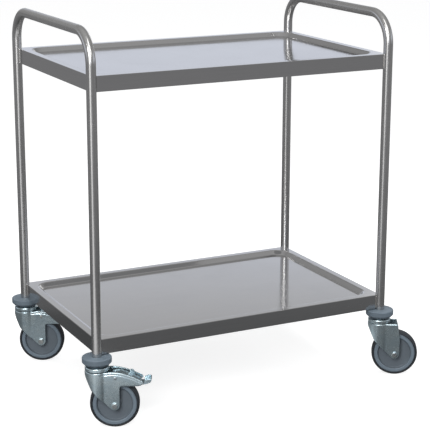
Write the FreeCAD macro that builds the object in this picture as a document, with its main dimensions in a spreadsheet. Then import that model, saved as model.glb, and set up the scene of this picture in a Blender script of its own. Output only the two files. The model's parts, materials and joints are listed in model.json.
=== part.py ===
import FreeCAD, Part
import Sketcher
import math
import os
from FreeCAD import Vector as V, Placement, Rotation

# Two-shelf instrument cart: two bent-tube end frames, two pressed steel trays and
# four swivel castors, two of them with a foot brake. Millimetres, +Z up, the floor
# at z = 0, X along the length (handles at both ends), Y across the width.

doc = FreeCAD.newDocument("instrument_cart")
sheet = doc.addObject("Spreadsheet::Sheet", "Dims")

DIMS = [
    # frame
    ("frame_len", 834.0), ("frame_wid", 530.0), ("tube_d", 25.0), ("tube_wall", 1.5),
    ("bend_rad", 78.0), ("handle_top", 1000.0), ("tube_foot", 172.0),
    # shelves
    ("deck_up", 886.0), ("deck_low", 226.0), ("skirt_ht", 39.0), ("sheet_th", 1.5),
    ("recess_dp", 11.0), ("rim_wd", 21.0), ("slope_wd", 10.0), ("recess_rad", 42.0),
    ("fold_rad", 2.0), ("notch_gap", 0.05), ("stiff_len", 700.0), ("stiff_ht", 14.0),
    # castor, fixed part
    ("bumper_rad", 37.4), ("bumper_top", 185.0), ("bumper_bot", 166.0), ("stud_rad", 6.0),
    ("plug_top", 215.0), ("stud_top", 205.0), ("head_rad", 30.5), ("head_top", 160.0),
    ("head_bot", 150.3), ("king_rad", 10.0),
    # castor, fork
    ("crown_top", 149.0), ("crown_th", 3.0), ("cup_rad", 31.0), ("leg_half", 26.0),
    ("plate_th", 2.5), ("trail_len", 43.5), ("axle_ht", 62.5), ("leg_end", 12.5),
    ("ball_rad", 3.8), ("ball_ring", 19.0), ("ball_num", 12.0),
    # axle and wheel
    ("axle_rad", 4.0), ("hex_af", 13.0), ("run_gap", 0.05), ("sleeve_rad", 6.0),
    ("wheel_rad", 62.5), ("tyre_half", 16.0), ("seat_rad", 50.0), ("ring_out", 55.6),
    ("ring_in", 45.6), ("ring_half", 15.2), ("disc_half", 7.0), ("tread_flat", 8.0),
    # brake
    ("pin_rad", 3.0), ("pivot_along", 45.5), ("pivot_ht", 135.0), ("pedal_half", 17.5),
    ("pedal_th", 2.5),
    # swivel angles of the four castors about +Z, degrees
    ("yaw_fl", -25.0), ("yaw_fr", -31.5), ("yaw_bl", -27.0), ("yaw_br", -28.0),
    # shift that puts the middle of the whole outline over the origin
    ("shift_lr", -30.488), ("shift_fb", 18.1585),
]
for row, (alias, value) in enumerate(DIMS, 1):
    sheet.set("A%d" % row, alias)
    sheet.set("B%d" % row, repr(value))
    sheet.setAlias("B%d" % row, alias)
doc.recompute()


class Q:
    """A size that carries its value and the sheet expression that makes it."""

    def __init__(self, val, expr=None):
        self.v = float(val)
        self.e = expr

    @staticmethod
    def of(other):
        return other if isinstance(other, Q) else Q(other)

    def text(self):
        return self.e if self.e is not None else "(%r)" % self.v

    def _mix(self, other, sign, val):
        other = Q.of(other)
        if self.e is None and other.e is None:
            return Q(val)
        return Q(val, "(%s %s %s)" % (self.text(), sign, other.text()))

    def __add__(self, o): return self._mix(o, "+", self.v + Q.of(o).v)
    def __radd__(self, o): return Q.of(o)._mix(self, "+", Q.of(o).v + self.v)
    def __sub__(self, o): return self._mix(o, "-", self.v - Q.of(o).v)
    def __rsub__(self, o): return Q.of(o)._mix(self, "-", Q.of(o).v - self.v)
    def __mul__(self, o): return self._mix(o, "*", self.v * Q.of(o).v)
    def __rmul__(self, o): return Q.of(o)._mix(self, "*", Q.of(o).v * self.v)
    def __truediv__(self, o): return self._mix(o, "/", self.v / Q.of(o).v)
    def __neg__(self): return Q(0.0)._mix(self, "-", -self.v)


def D(alias):
    return Q(float(sheet.get(alias)), "Dims." + alias)


def num(alias):
    return float(sheet.get(alias))


# ---------------------------------------------------------------- helpers

def new_body(label):
    body = doc.addObject("PartDesign::Body", label)
    body.Label = label
    BODIES.append(body)
    return body


def base_plane(body, role):
    for feat in body.Origin.OriginFeatures:
        if feat.Role == role:
            return feat
    raise RuntimeError("no plane " + role)


def new_sketch(body, name, role, off=None):
    sk = body.newObject("Sketcher::SketchObject", name)
    sk.AttachmentSupport = [(base_plane(body, role), "")]
    sk.MapMode = "FlatFace"
    if off is not None:
        off = Q.of(off)
        sk.AttachmentOffset = Placement(V(0, 0, off.v), Rotation())
        if off.e:
            sk.setExpression("AttachmentOffset.Base.z", off.e)
    return sk


def size(sk, con, q):
    q = Q.of(q)
    idx = sk.addConstraint(con)
    if q.e:
        name = "k%d" % idx
        sk.renameConstraint(idx, name)
        sk.setExpression("Constraints." + name, q.e)


def fix_point(sk, geo, pos, x, y):
    x, y = Q.of(x), Q.of(y)
    if x.e is None and x.v == 0.0:
        sk.addConstraint(Sketcher.Constraint("PointOnObject", geo, pos, -2))
    else:
        size(sk, Sketcher.Constraint("DistanceX", -1, 1, geo, pos, x.v), x)
    if y.e is None and y.v == 0.0:
        sk.addConstraint(Sketcher.Constraint("PointOnObject", geo, pos, -1))
    else:
        size(sk, Sketcher.Constraint("DistanceY", -1, 1, geo, pos, y.v), y)


def outline(sk, pts):
    """Closed outline. A point is (x, y); a third entry (x, y, rad) makes the edge that
    leaves it a round one: ("arc", mid_x, mid_y)."""
    n = len(pts)
    ids = []
    for i in range(n):
        a, b = pts[i], pts[(i + 1) % n]
        p = V(Q.of(a[0]).v, Q.of(a[1]).v, 0)
        q = V(Q.of(b[0]).v, Q.of(b[1]).v, 0)
        if len(a) > 2:
            m = V(Q.of(a[2][0]).v, Q.of(a[2][1]).v, 0)
            arc = Part.Arc(p, m, q)
            gid = sk.addGeometry(arc, False)
            gg = sk.Geometry[gid]
            flip = (gg.StartPoint - p).Length > (gg.EndPoint - p).Length
            ids.append((gid, 2 if flip else 1, 1 if flip else 2, gg.Radius))
        else:
            gid = sk.addGeometry(Part.LineSegment(p, q), False)
            ids.append((gid, 1, 2, None))
    for i in range(n):
        a, b = ids[i], ids[(i + 1) % n]
        sk.addConstraint(Sketcher.Constraint("Coincident", a[0], a[2], b[0], b[1]))
    for i, pt in enumerate(pts):
        fix_point(sk, ids[i][0], ids[i][1], pt[0], pt[1])
        if ids[i][3]:
            sk.addConstraint(Sketcher.Constraint("Radius", ids[i][0], ids[i][3]))


def circle(sk, x, y, rad):
    x, y, rad = Q.of(x), Q.of(y), Q.of(rad)
    gid = sk.addGeometry(Part.Circle(V(x.v, y.v, 0), V(0, 0, 1), rad.v), False)
    fix_point(sk, gid, 3, x, y)
    size(sk, Sketcher.Constraint("Radius", gid, rad.v), rad)


def round_rect(sk, hx, hy, rad):
    hx, hy, rad = Q.of(hx), Q.of(hy), Q.of(rad)
    cx, cy, r = hx - rad, hy - rad, rad.v
    X, Y = hx.v, hy.v
    a = cx.v
    b = cy.v
    lines = [((-a, -Y), (a, -Y)), ((X, -b), (X, b)), ((a, Y), (-a, Y)), ((-X, b), (-X, -b))]
    cent = [(1, -1), (1, 1), (-1, 1), (-1, -1)]
    start = [-90, 0, 90, 180]
    lid, aid = [], []
    for i in range(4):
        p, q = lines[i]
        lid.append(sk.addGeometry(Part.LineSegment(V(p[0], p[1], 0), V(q[0], q[1], 0)), False))
        c = Part.Circle(V(cent[i][0] * a, cent[i][1] * b, 0), V(0, 0, 1), r)
        s = math.radians(start[i])
        aid.append(sk.addGeometry(Part.ArcOfCircle(c, s, s + math.pi / 2), False))
    for i in range(4):
        sk.addConstraint(Sketcher.Constraint("Tangent", lid[i], 2, aid[i], 1))
        sk.addConstraint(Sketcher.Constraint("Tangent", aid[i], 2, lid[(i + 1) % 4], 1))
        sx, sy = cent[i]
        fix_point(sk, aid[i], 3, cx if sx > 0 else -cx, cy if sy > 0 else -cy)
        size(sk, Sketcher.Constraint("Radius", aid[i], r), rad)


def pad(body, sk, length, both=False, back=False):
    f = body.newObject("PartDesign::Pad", "Pad")
    f.Profile = sk
    length = Q.of(length)
    f.Length = length.v
    if length.e:
        f.setExpression("Length", length.e)
    if both:
        f.SideType = "Symmetric"
    f.Reversed = back
    doc.recompute()
    return f


def pocket(body, sk, length=None, both=False, back=False):
    before = body.Shape.Volume
    f = body.newObject("PartDesign::Pocket", "Pocket")
    f.Profile = sk
    if length is None:
        f.Type = "ThroughAll"
    else:
        length = Q.of(length)
        f.Length = length.v
        if length.e:
            f.setExpression("Length", length.e)
    if both:
        f.SideType = "Symmetric"
    f.Reversed = back
    doc.recompute()
    if not body.Shape.Volume < before - 1e-3:
        raise RuntimeError("pocket cut nothing in " + body.Label)
    return f


def revolve(body, sk):
    f = body.newObject("PartDesign::Revolution", "Revolution")
    f.Profile = sk
    f.ReferenceAxis = (sk, ["V_Axis"])
    f.Angle = 360.0
    doc.recompute()
    return f


def round_edges(body, feat, pick, rad):
    names = []
    for i, e in enumerate(feat.Shape.Edges, 1):
        if pick(e):
            names.append("Edge%d" % i)
    if not names:
        raise RuntimeError("no edge to round in " + body.Label)
    f = body.newObject("PartDesign::Fillet", "Fillet")
    f.Base = (feat, names)
    rad = Q.of(rad)
    f.Radius = rad.v
    if rad.e:
        f.setExpression("Radius", rad.e)
    doc.recompute()
    return f


def is_ring(e, rad, at_z=None):
    c = e.Curve
    if not isinstance(c, Part.Circle) or abs(c.Radius - rad) > 0.02:
        return False
    return at_z is None or abs(c.Center.z - at_z) < 0.02


BODIES = []
SX, SY = D("shift_lr"), D("shift_fb")
L, W, TD = D("frame_len"), D("frame_wid"), D("tube_d")


def put_frame_part(body, x=None):
    """A part of the rigid frame: only the common shift, and x when it has one."""
    x = Q(0.0) if x is None else x
    px = x + SX
    body.Placement = Placement(V(px.v, SY.v, 0), Rotation())
    body.setExpression("Placement.Base.x", px.e)
    body.setExpression("Placement.Base.y", SY.e)


# ---------------------------------------------------------------- end frames

def make_end_frame(label, side):
    body = new_body(label)
    half = W / 2
    top = D("handle_top") - TD / 2
    bend = D("bend_rad")
    path = new_sketch(body, label + "_path", "YZ_Plane")
    y, z0, z1, b = half.v, num("tube_foot"), top.v, bend.v
    l1 = path.addGeometry(Part.LineSegment(V(-y, z0, 0), V(-y, z1 - b, 0)), False)
    c1 = Part.Circle(V(-y + b, z1 - b, 0), V(0, 0, 1), b)
    a1 = path.addGeometry(Part.ArcOfCircle(c1, math.pi / 2, math.pi), False)
    l2 = path.addGeometry(Part.LineSegment(V(-y + b, z1, 0), V(y - b, z1, 0)), False)
    c2 = Part.Circle(V(y - b, z1 - b, 0), V(0, 0, 1), b)
    a2 = path.addGeometry(Part.ArcOfCircle(c2, 0, math.pi / 2), False)
    l3 = path.addGeometry(Part.LineSegment(V(y, z1 - b, 0), V(y, z0, 0)), False)
    path.addConstraint(Sketcher.Constraint("Tangent", l1, 2, a1, 2))
    path.addConstraint(Sketcher.Constraint("Tangent", a1, 1, l2, 1))
    path.addConstraint(Sketcher.Constraint("Tangent", l2, 2, a2, 2))
    path.addConstraint(Sketcher.Constraint("Tangent", a2, 1, l3, 1))
    fix_point(path, l1, 1, -half, D("tube_foot"))
    fix_point(path, l3, 2, half, D("tube_foot"))
    fix_point(path, a1, 3, bend - half, top - bend)
    fix_point(path, a2, 3, half - bend, top - bend)
    size(path, Sketcher.Constraint("Radius", a1, b), bend)
    prof = new_sketch(body, label + "_section", "XY_Plane", D("tube_foot"))
    circle(prof, 0.0, -half, TD / 2)
    circle(prof, 0.0, -half, TD / 2 - D("tube_wall"))
    pipe = body.newObject("PartDesign::AdditivePipe", "Pipe")
    pipe.Profile = prof
    pipe.Spine = (path, ["Edge%d" % i for i in range(1, 6)])
    doc.recompute()
    put_frame_part(body, L / 2 if side > 0 else -(L / 2))


make_end_frame("left_end_frame", -1)
make_end_frame("right_end_frame", 1)


# ---------------------------------------------------------------- shelves

def make_shelf(label, deck):
    body = new_body(label)
    th = D("sheet_th")
    bottom = deck - D("skirt_ht")
    plan = new_sketch(body, label + "_plan", "XY_Plane", bottom)
    hx, hy = L / 2, W / 2
    outline(plan, [(-hx, -hy), (hx, -hy), (hx, hy), (-hx, hy)])
    block = pad(body, plan, D("skirt_ht"))
    lx, ly = L.v / 2, W.v / 2
    zt = deck.v

    def top_edge(e):
        bb = e.BoundBox
        return abs(bb.ZMin - zt) < 0.01 and abs(bb.ZMax - zt) < 0.01

    round_edges(body, block, top_edge, D("fold_rad"))
    under = new_sketch(body, label + "_under", "XY_Plane", bottom)
    outline(under, [(th - hx, th - hy), (hx - th, th - hy), (hx - th, hy - th), (th - hx, hy - th)])
    pocket(body, under, D("skirt_ht") - th, back=True)
    # pressed recess: outside of the pressing added, inside taken away
    rim, slope, dp, rr = D("rim_wd"), D("slope_wd"), D("recess_dp"), D("recess_rad")
    ax, ay = hx - rim, hy - rim
    fx, fy = hx - rim - slope, hy - rim - slope
    fr = rr - slope
    b_top = new_sketch(body, label + "_press_top", "XY_Plane", deck - th)
    round_rect(b_top, ax + th * 0.6, ay + th * 0.6, rr + th * 0.6)
    b_bot = new_sketch(body, label + "_press_low", "XY_Plane", deck - dp - th)
    round_rect(b_bot, fx + th * 0.6, fy + th * 0.6, fr + th * 0.6)
    add = body.newObject("PartDesign::AdditiveLoft", "Loft")
    add.Profile = b_top
    add.Sections = [(b_bot, [""])]
    add.Ruled = True
    doc.recompute()
    r_top = new_sketch(body, label + "_recess_top", "XY_Plane", deck)
    round_rect(r_top, ax, ay, rr)
    r_bot = new_sketch(body, label + "_recess_low", "XY_Plane", deck - dp)
    round_rect(r_bot, fx, fy, fr)
    before = body.Shape.Volume
    sub = body.newObject("PartDesign::SubtractiveLoft", "Loft")
    sub.Profile = r_top
    sub.Sections = [(r_bot, [""])]
    sub.Ruled = True
    doc.recompute()
    if not body.Shape.Volume < before - 1.0:
        raise RuntimeError("recess cut nothing")
    cut = new_sketch(body, label + "_notches", "XY_Plane", bottom - 1)
    for sx in (-1, 1):
        for sy in (-1, 1):
            circle(cut, hx if sx > 0 else -hx, hy if sy > 0 else -hy, TD / 2 + D("notch_gap"))
    pocket(body, cut, D("skirt_ht") + 2, back=True)
    put_frame_part(body)


def make_hat(label, deck):
    body = new_body(label)
    th = D("sheet_th")
    z1 = deck - D("recess_dp") - th
    z0 = z1 - D("stiff_ht")
    sk = new_sketch(body, label + "_section", "YZ_Plane")
    outline(sk, [(-45.0, z1), (-45.0, z1 - th), (-28.0, z1 - th), (-24.0, z0), (24.0, z0),
                 (28.0, z1 - th), (45.0, z1 - th), (45.0, z1), (26.0, z1), (22.5, z0 + th),
                 (-22.5, z0 + th), (-26.0, z1)])
    pad(body, sk, D("stiff_len"), both=True)
    put_frame_part(body)


make_shelf("upper_shelf", D("deck_up"))
make_shelf("lower_shelf", D("deck_low"))
make_hat("upper_deck_rib", D("deck_up"))
make_hat("lower_deck_rib", D("deck_low"))

# ---------------------------------------------------------------- castors

CASTORS = [("front_left", -1, -1, "yaw_fl", True), ("front_right", 1, -1, "yaw_fr", False),
           ("back_left", -1, 1, "yaw_bl", True), ("back_right", 1, 1, "yaw_br", False)]


def corner(sx, sy):
    px = (L / 2 if sx > 0 else -(L / 2)) + SX
    py = (W / 2 if sy > 0 else -(W / 2)) + SY
    return px, py


def put_castor_part(body, sx, sy, yaw=None):
    px, py = corner(sx, sy)
    ang = num(yaw) if yaw else 0.0
    body.Placement = Placement(V(px.v, py.v, 0), Rotation(V(0, 0, 1), ang))
    body.setExpression("Placement.Base.x", px.e)
    body.setExpression("Placement.Base.y", py.e)


def put_across(body, sx, sy, yaw, along, height):
    """A turned part whose own Z axis lies across the castor, along the axle or pin."""
    px, py = corner(sx, sy)
    base = Placement(V(px.v, py.v, 0), Rotation(V(0, 0, 1), num(yaw)))
    body.Placement = base.multiply(Placement(V(along, 0, height), Rotation(V(1, 0, 0), -90)))


def hexagon(sk, af):
    """Regular hexagon, flats 'af' apart, corners left and right."""
    r = af / 1.7320508075688772
    pts = []
    for i in range(6):
        a = math.radians(60 * i)
        cx, cy = round(math.cos(a), 12), round(math.sin(a), 12)
        pts.append((r * cx if abs(cx) > 1e-9 else 0.0, r * cy if abs(cy) > 1e-9 else 0.0))
    outline(sk, pts)


def make_turned(label, pts, plane="XZ_Plane"):
    body = new_body(label)
    sk = new_sketch(body, label + "_profile", plane)
    outline(sk, pts)
    return body, revolve(body, sk)


def make_fixed_parts(name, sx, sy):
    # expander plug pushed up the tube
    plug, _ = make_turned(name + "_stem_plug", [
        (D("stud_rad") + 0.05, D("tube_foot")), (TD / 2 - D("tube_wall") - 0.05, D("tube_foot")),
        (TD / 2 - D("tube_wall") - 0.05, D("plug_top") - 2), (TD / 2 - D("tube_wall") - 2, D("plug_top")),
        (D("stud_rad") + 0.05, D("plug_top"))])
    put_castor_part(plug, sx, sy)
    # wall bumper disc around the tube foot
    R, zt, zb = D("bumper_rad"), D("bumper_top"), D("bumper_bot")
    bump, rev = make_turned(name + "_bumper", [
        (D("stud_rad") + 0.05, zb), (R - 5, zb), (R, zb + 5), (R, zt - 2.0),
        (R - 1.2, zt - 1.2), (TD / 2 + 0.05, zt), (TD / 2 + 0.05, D("tube_foot")),
        (D("stud_rad") + 0.05, D("tube_foot"))])
    round_edges(bump, rev, lambda e: is_ring(e, R.v, zt.v - 2.0), 1.6)
    put_castor_part(bump, sx, sy)
    # swivel head: threaded stud, neck, upper ball cup and king pin with its lower flange
    hr, ht, hb, kr = D("head_rad"), D("head_top"), D("head_bot"), D("king_rad")
    under = D("crown_top") - D("crown_th") - 0.3
    head, rev = make_turned(name + "_swivel_head", [
        (0.0, D("stud_top")), (D("stud_rad"), D("stud_top")), (D("stud_rad"), zb), (16.0, zb),
        (16.0, ht), (hr - 1.5, ht), (hr, ht - 1.5), (hr, hb), (hr - 2.5, hb), (hr - 2.5, ht - 3),
        (kr, ht - 3), (kr, under), (kr + 4, under), (kr + 4, under - 4), (0.0, under - 4)])
    put_castor_part(head, sx, sy)


def make_fork(name, sx, sy, yaw, brake):
    body = new_body(name + "_fork")
    ct, cr, lh, pt = D("crown_top"), D("cup_rad"), D("leg_half"), D("plate_th")
    tr, az, er = D("trail_len"), D("axle_ht"), D("leg_end")
    s = math.sqrt(0.5)
    side = new_sketch(body, name + "_fork_side", "XZ_Plane")
    pts = [(-(cr + 1), ct), (-cr, ct - 9.5), (-14.5, 104.0), (0.0, 88.0), (16.8, 71.6)]
    m = math.radians(-67.5)
    pts.append((tr - er * s, az - er * s, (tr + er * math.cos(m), az + er * math.sin(m))))
    pts.append((tr + er, az))
    if brake:
        pts += [(tr + er + 0.4, 108.5, (57.2, 112.6)), (61.5, 113.8), (103.0, 113.8),
                (112.0, 117.2, (115.6, 120.4)), (114.2, 124.6, (78.5, 142.2)), (36.0, 150.6), (24.0, ct)]
    else:
        pts += [(57.2, 100.0), (54.0, 128.0), (49.5, ct)]
    outline(side, pts)
    pad(body, side, 2 * cr + 2, both=True)
    # plan shape: a round cup at the front, two flat cheeks behind it
    x0 = Q(math.sqrt(cr.v ** 2 - lh.v ** 2))
    plan = new_sketch(body, name + "_fork_plan", "XY_Plane")
    outline(plan, [(-60.0, -60.0), (190.0, -60.0), (190.0, 60.0), (-60.0, 60.0)])
    outline(plan, [(x0, lh, (-cr, 0.0)), (x0, -lh), (160.0, -lh), (160.0, lh)])
    pocket(body, plan, 400.0, both=True)
    xi = Q(math.sqrt((cr.v - pt.v) ** 2 - (lh.v - pt.v) ** 2))
    inner = new_sketch(body, name + "_fork_inside", "XY_Plane", ct - D("crown_th"))
    outline(inner, [(xi, lh - pt, (pt - cr, 0.0)), (xi, pt - lh), (180.0, pt - lh), (180.0, lh - pt)])
    pocket(body, inner, 200.0)
    gap = new_sketch(body, name + "_fork_gap", "XY_Plane", ct + 20)
    outline(gap, [(cr + 0.5, -(lh - 2 * pt)), (170.0, -(lh - 2 * pt)), (170.0, lh - 2 * pt), (cr + 0.5, lh - 2 * pt)])
    pocket(body, gap, 60.0)
    hole = new_sketch(body, name + "_fork_king", "XY_Plane", ct + 20)
    circle(hole, 0.0, 0.0, D("king_rad") + D("run_gap"))
    pocket(body, hole, 60.0)
    axle = new_sketch(body, name + "_fork_axle", "XZ_Plane")
    circle(axle, tr, az, D("axle_rad") + D("run_gap"))
    pocket(body, axle, 200.0, both=True)
    if brake:
        piv = new_sketch(body, name + "_fork_pivot", "XZ_Plane")
        circle(piv, D("pivot_along"), D("pivot_ht"), D("pin_rad") + 0.02)
        pocket(body, piv, 200.0, both=True)
    put_castor_part(body, sx, sy, yaw)


def make_ball_ring(name, sx, sy, yaw):
    label = name + "_swivel_balls"
    obj = doc.addObject("Part::Feature", label)
    obj.Label = label
    rb, rc, n = num("ball_rad"), num("ball_ring"), int(num("ball_num"))
    zc = num("crown_top") + rb + 0.08
    balls = []
    for i in range(n):
        a = 2 * math.pi * i / n
        balls.append(Part.makeSphere(rb, V(rc * math.cos(a), rc * math.sin(a), zc)))
    obj.Shape = Part.makeCompound(balls)
    put_castor_part(obj, sx, sy, yaw)
    BODIES.append(obj)


def make_axle_parts(name, sx, sy, yaw):
    tr, az = num("trail_len"), num("axle_ht")
    lh, pt, ar, af = D("leg_half"), D("plate_th"), D("axle_rad"), D("hex_af")
    bolt = new_body(name + "_axle_bolt")
    sk = new_sketch(bolt, name + "_bolt_head", "XY_Plane", -(lh + 5.3))
    hexagon(sk, af)
    pad(bolt, sk, 5.3)
    sk = new_sketch(bolt, name + "_bolt_shank", "XY_Plane", -(lh + 0.5))
    circle(sk, 0.0, 0.0, ar)
    pad(bolt, sk, 2 * lh + 9.5)
    put_across(bolt, sx, sy, yaw, tr, az)
    nut = new_body(name + "_axle_nut")
    sk = new_sketch(nut, name + "_nut_plan", "XY_Plane", lh)
    hexagon(sk, af)
    circle(sk, 0.0, 0.0, ar + 0.02)
    pad(nut, sk, 6.5)
    put_across(nut, sx, sy, yaw, tr, az)
    bush = new_body(name + "_axle_sleeve")
    sk = new_sketch(bush, name + "_sleeve_ring", "XY_Plane")
    circle(sk, 0.0, 0.0, D("sleeve_rad"))
    circle(sk, 0.0, 0.0, ar + 0.02)
    pad(bush, sk, 2 * (lh - pt) - 0.1, both=True)
    put_across(bush, sx, sy, yaw, tr, az)
    # wheel centre: hub, recessed disc, raised side ring, tyre seat
    bore, seat = D("sleeve_rad") + D("run_gap"), D("seat_rad")
    hub = lh - pt - 0.4
    ro, ri, rh, dh = D("ring_out"), D("ring_in"), D("ring_half"), D("disc_half")
    half = [(bore, hub), (13.5, hub), (14.5, dh + 2), (17.0, dh), (ri - 2, dh), (ri, rh - 1.2),
            (ri + 1.4, rh), (ro - 2.2, rh), (ro, rh - 2.2), (ro, 11.0), (seat, 11.0)]
    pts = half + [(x, -Q.of(z)) for x, z in reversed(half)]
    rim, _ = make_turned(name + "_wheel_centre", pts)
    put_across(rim, sx, sy, yaw, tr, az)
    # flat tread in the middle, shoulders stepped along an arc that meets the tread smoothly
    rt, hw, tf = D("wheel_rad"), D("tyre_half"), D("tread_flat")
    lip = ro + 1.8
    rho = (rt.v - lip.v) / 2 + (hw.v - tf.v) ** 2 / (2 * (rt.v - lip.v))
    full = math.atan2(hw.v - tf.v, lip.v - rt.v + rho)
    half = [(seat + 0.05, Q(10.95)), (ro + 0.1, Q(10.95)), (ro + 0.1, rh - 1.6), (lip, hw)]
    for k in (4, 3, 2, 1):
        a = full * k / 5
        half.append((rt - rho * (1 - math.cos(a)), tf + rho * math.sin(a)))
    half.append((rt, tf))
    pts = half + [(x, -Q.of(z)) for x, z in reversed(half)]
    tyre, rev = make_turned(name + "_tyre", pts)
    put_across(tyre, sx, sy, yaw, tr, az)


STRIP_TOP = [(37.0, 141.5), (50.0, 144.5), (62.0, 143.2), (76.0, 138.5), (90.0, 132.0),
             (103.0, 124.5), (111.0, 118.4), (117.0, 116.8), (131.5, 121.4), (134.6, 129.4)]
STRIP_LOW = [(136.9, 128.5), (133.6, 119.4), (117.2, 114.2), (109.9, 116.0), (101.7, 122.4),
             (88.9, 129.7), (75.1, 136.1), (61.5, 140.7), (50.2, 142.0), (37.6, 139.1)]


def make_brake(name, sx, sy, yaw):
    px, pz, pr = D("pivot_along"), D("pivot_ht"), D("pin_rad")
    ph, th = D("pedal_half"), D("pedal_th")
    ped = new_body(name + "_brake_pedal")
    sk = new_sketch(ped, name + "_pedal_strip", "XZ_Plane")
    outline(sk, STRIP_TOP + STRIP_LOW)
    pad(ped, sk, 2 * ph, both=True)
    for tag, off in (("near", ph - th), ("far", -ph)):
        sk = new_sketch(ped, name + "_ear_" + tag, "XZ_Plane", off)
        outline(sk, [(37.6, 140.5), (37.6, 132.5), (41.5, 129.2), (49.5, 129.2), (54.5, 134.0),
                     (66.0, 136.5), (66.0, 139.9), (60.5, 141.5), (50.0, 142.8)])
        pad(ped, sk, th)
    sk = new_sketch(ped, name + "_release_tab", "XZ_Plane", -ph)
    outline(sk, [(80.0, 136.0), (83.2, 144.6), (88.6, 145.4), (93.2, 139.8), (93.6, 129.6), (80.0, 135.2)])
    pad(ped, sk, th)
    sk = new_sketch(ped, name + "_pedal_bore", "XZ_Plane")
    circle(sk, px, pz, pr + D("run_gap"))
    pocket(ped, sk, 100.0, both=True)
    put_castor_part(ped, sx, sy, yaw)
    shoe = new_body(name + "_brake_shoe")
    sk = new_sketch(shoe, name + "_shoe_side", "XZ_Plane")
    outline(sk, [(67.5, 125.2), (77.7, 121.5), (88.5, 115.8), (88.9, 129.6), (75.1, 136.0), (66.5, 138.9)])
    pad(shoe, sk, 24.0, both=True)
    put_castor_part(shoe, sx, sy, yaw)
    pin, _ = make_turned(name + "_brake_pin", [
        (0.0, Q(0.0) - D("leg_half") - 1.0), (4.2, Q(0.0) - D("leg_half") - 1.0), (4.2, -D("leg_half")),
        (pr, -D("leg_half")), (pr, D("leg_half")), (4.2, D("leg_half")),
        (4.2, D("leg_half") + 1.0), (0.0, D("leg_half") + 1.0)])
    put_across(pin, sx, sy, yaw, num("pivot_along"), num("pivot_ht"))
    spr = new_body(name + "_brake_spring")
    sk = new_sketch(spr, name + "_spring_wire", "XZ_Plane")
    circle(sk, 4.2, -7.0, 0.6)
    hel = spr.newObject("PartDesign::AdditiveHelix", "Helix")
    hel.Profile = sk
    hel.ReferenceAxis = (sk, ["V_Axis"])
    hel.Mode = "pitch-height-angle"
    hel.Pitch = 2.0
    hel.Height = 14.0
    hel.Angle = 0.0
    doc.recompute()
    put_across(spr, sx, sy, yaw, num("pivot_along"), num("pivot_ht"))


for name, sx, sy, yaw, brake in CASTORS:
    make_fixed_parts(name, sx, sy)
    make_fork(name, sx, sy, yaw, brake)
    make_ball_ring(name, sx, sy, yaw)
    make_axle_parts(name, sx, sy, yaw)
    if brake:
        make_brake(name, sx, sy, yaw)

doc.recompute()

# ---------------------------------------------------------------- checks and files

for obj in doc.Objects:
    state = list(obj.State)
    if "Invalid" in state or "Error" in state:
        raise RuntimeError("object %s failed: %s" % (obj.Name, state))
box = None
for body in BODIES:
    shp = body.Shape
    if shp.isNull() or not shp.isValid() or shp.Volume <= 0:
        raise RuntimeError("bad shape: " + body.Label)
    tight = shp.optimalBoundingBox(False, False)
    if box is None:
        box = tight
    else:
        box.add(tight)
os.makedirs("parts", exist_ok=True)
for body in BODIES:
    body.Shape.exportStep("parts/%s.step" % body.Label)
print("parts:", len(BODIES))
print("box x %.3f %.3f  y %.3f %.3f  z %.3f %.3f" % (box.XMin, box.XMax, box.YMin, box.YMax, box.ZMin, box.ZMax))
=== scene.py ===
# Looks of the two-shelf instrument cart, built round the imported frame. Blender 4.5.
import json
import math

import bpy
import numpy as np
from mathutils import Matrix, Vector
from mathutils.geometry import delaunay_2d_cdt


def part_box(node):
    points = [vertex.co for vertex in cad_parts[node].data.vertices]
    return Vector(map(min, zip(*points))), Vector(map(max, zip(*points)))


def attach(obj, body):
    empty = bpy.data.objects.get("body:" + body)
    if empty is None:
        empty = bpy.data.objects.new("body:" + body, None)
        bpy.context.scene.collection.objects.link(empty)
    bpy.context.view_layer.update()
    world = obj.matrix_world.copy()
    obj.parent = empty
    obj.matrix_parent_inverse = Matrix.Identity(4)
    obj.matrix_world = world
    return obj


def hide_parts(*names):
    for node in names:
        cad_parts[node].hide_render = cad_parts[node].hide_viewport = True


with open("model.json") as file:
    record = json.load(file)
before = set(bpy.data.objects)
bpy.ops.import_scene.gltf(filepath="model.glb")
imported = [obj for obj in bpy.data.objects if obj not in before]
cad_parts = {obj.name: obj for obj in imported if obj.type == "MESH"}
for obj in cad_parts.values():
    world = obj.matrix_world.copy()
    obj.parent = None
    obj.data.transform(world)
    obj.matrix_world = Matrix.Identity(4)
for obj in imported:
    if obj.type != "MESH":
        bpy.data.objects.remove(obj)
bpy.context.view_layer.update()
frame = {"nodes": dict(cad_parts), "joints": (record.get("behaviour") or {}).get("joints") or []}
NODES = frame["nodes"]
MM = 0.001

# ------------------------------------------------------------------ mesh tools (millimetres in, metres out)


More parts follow.
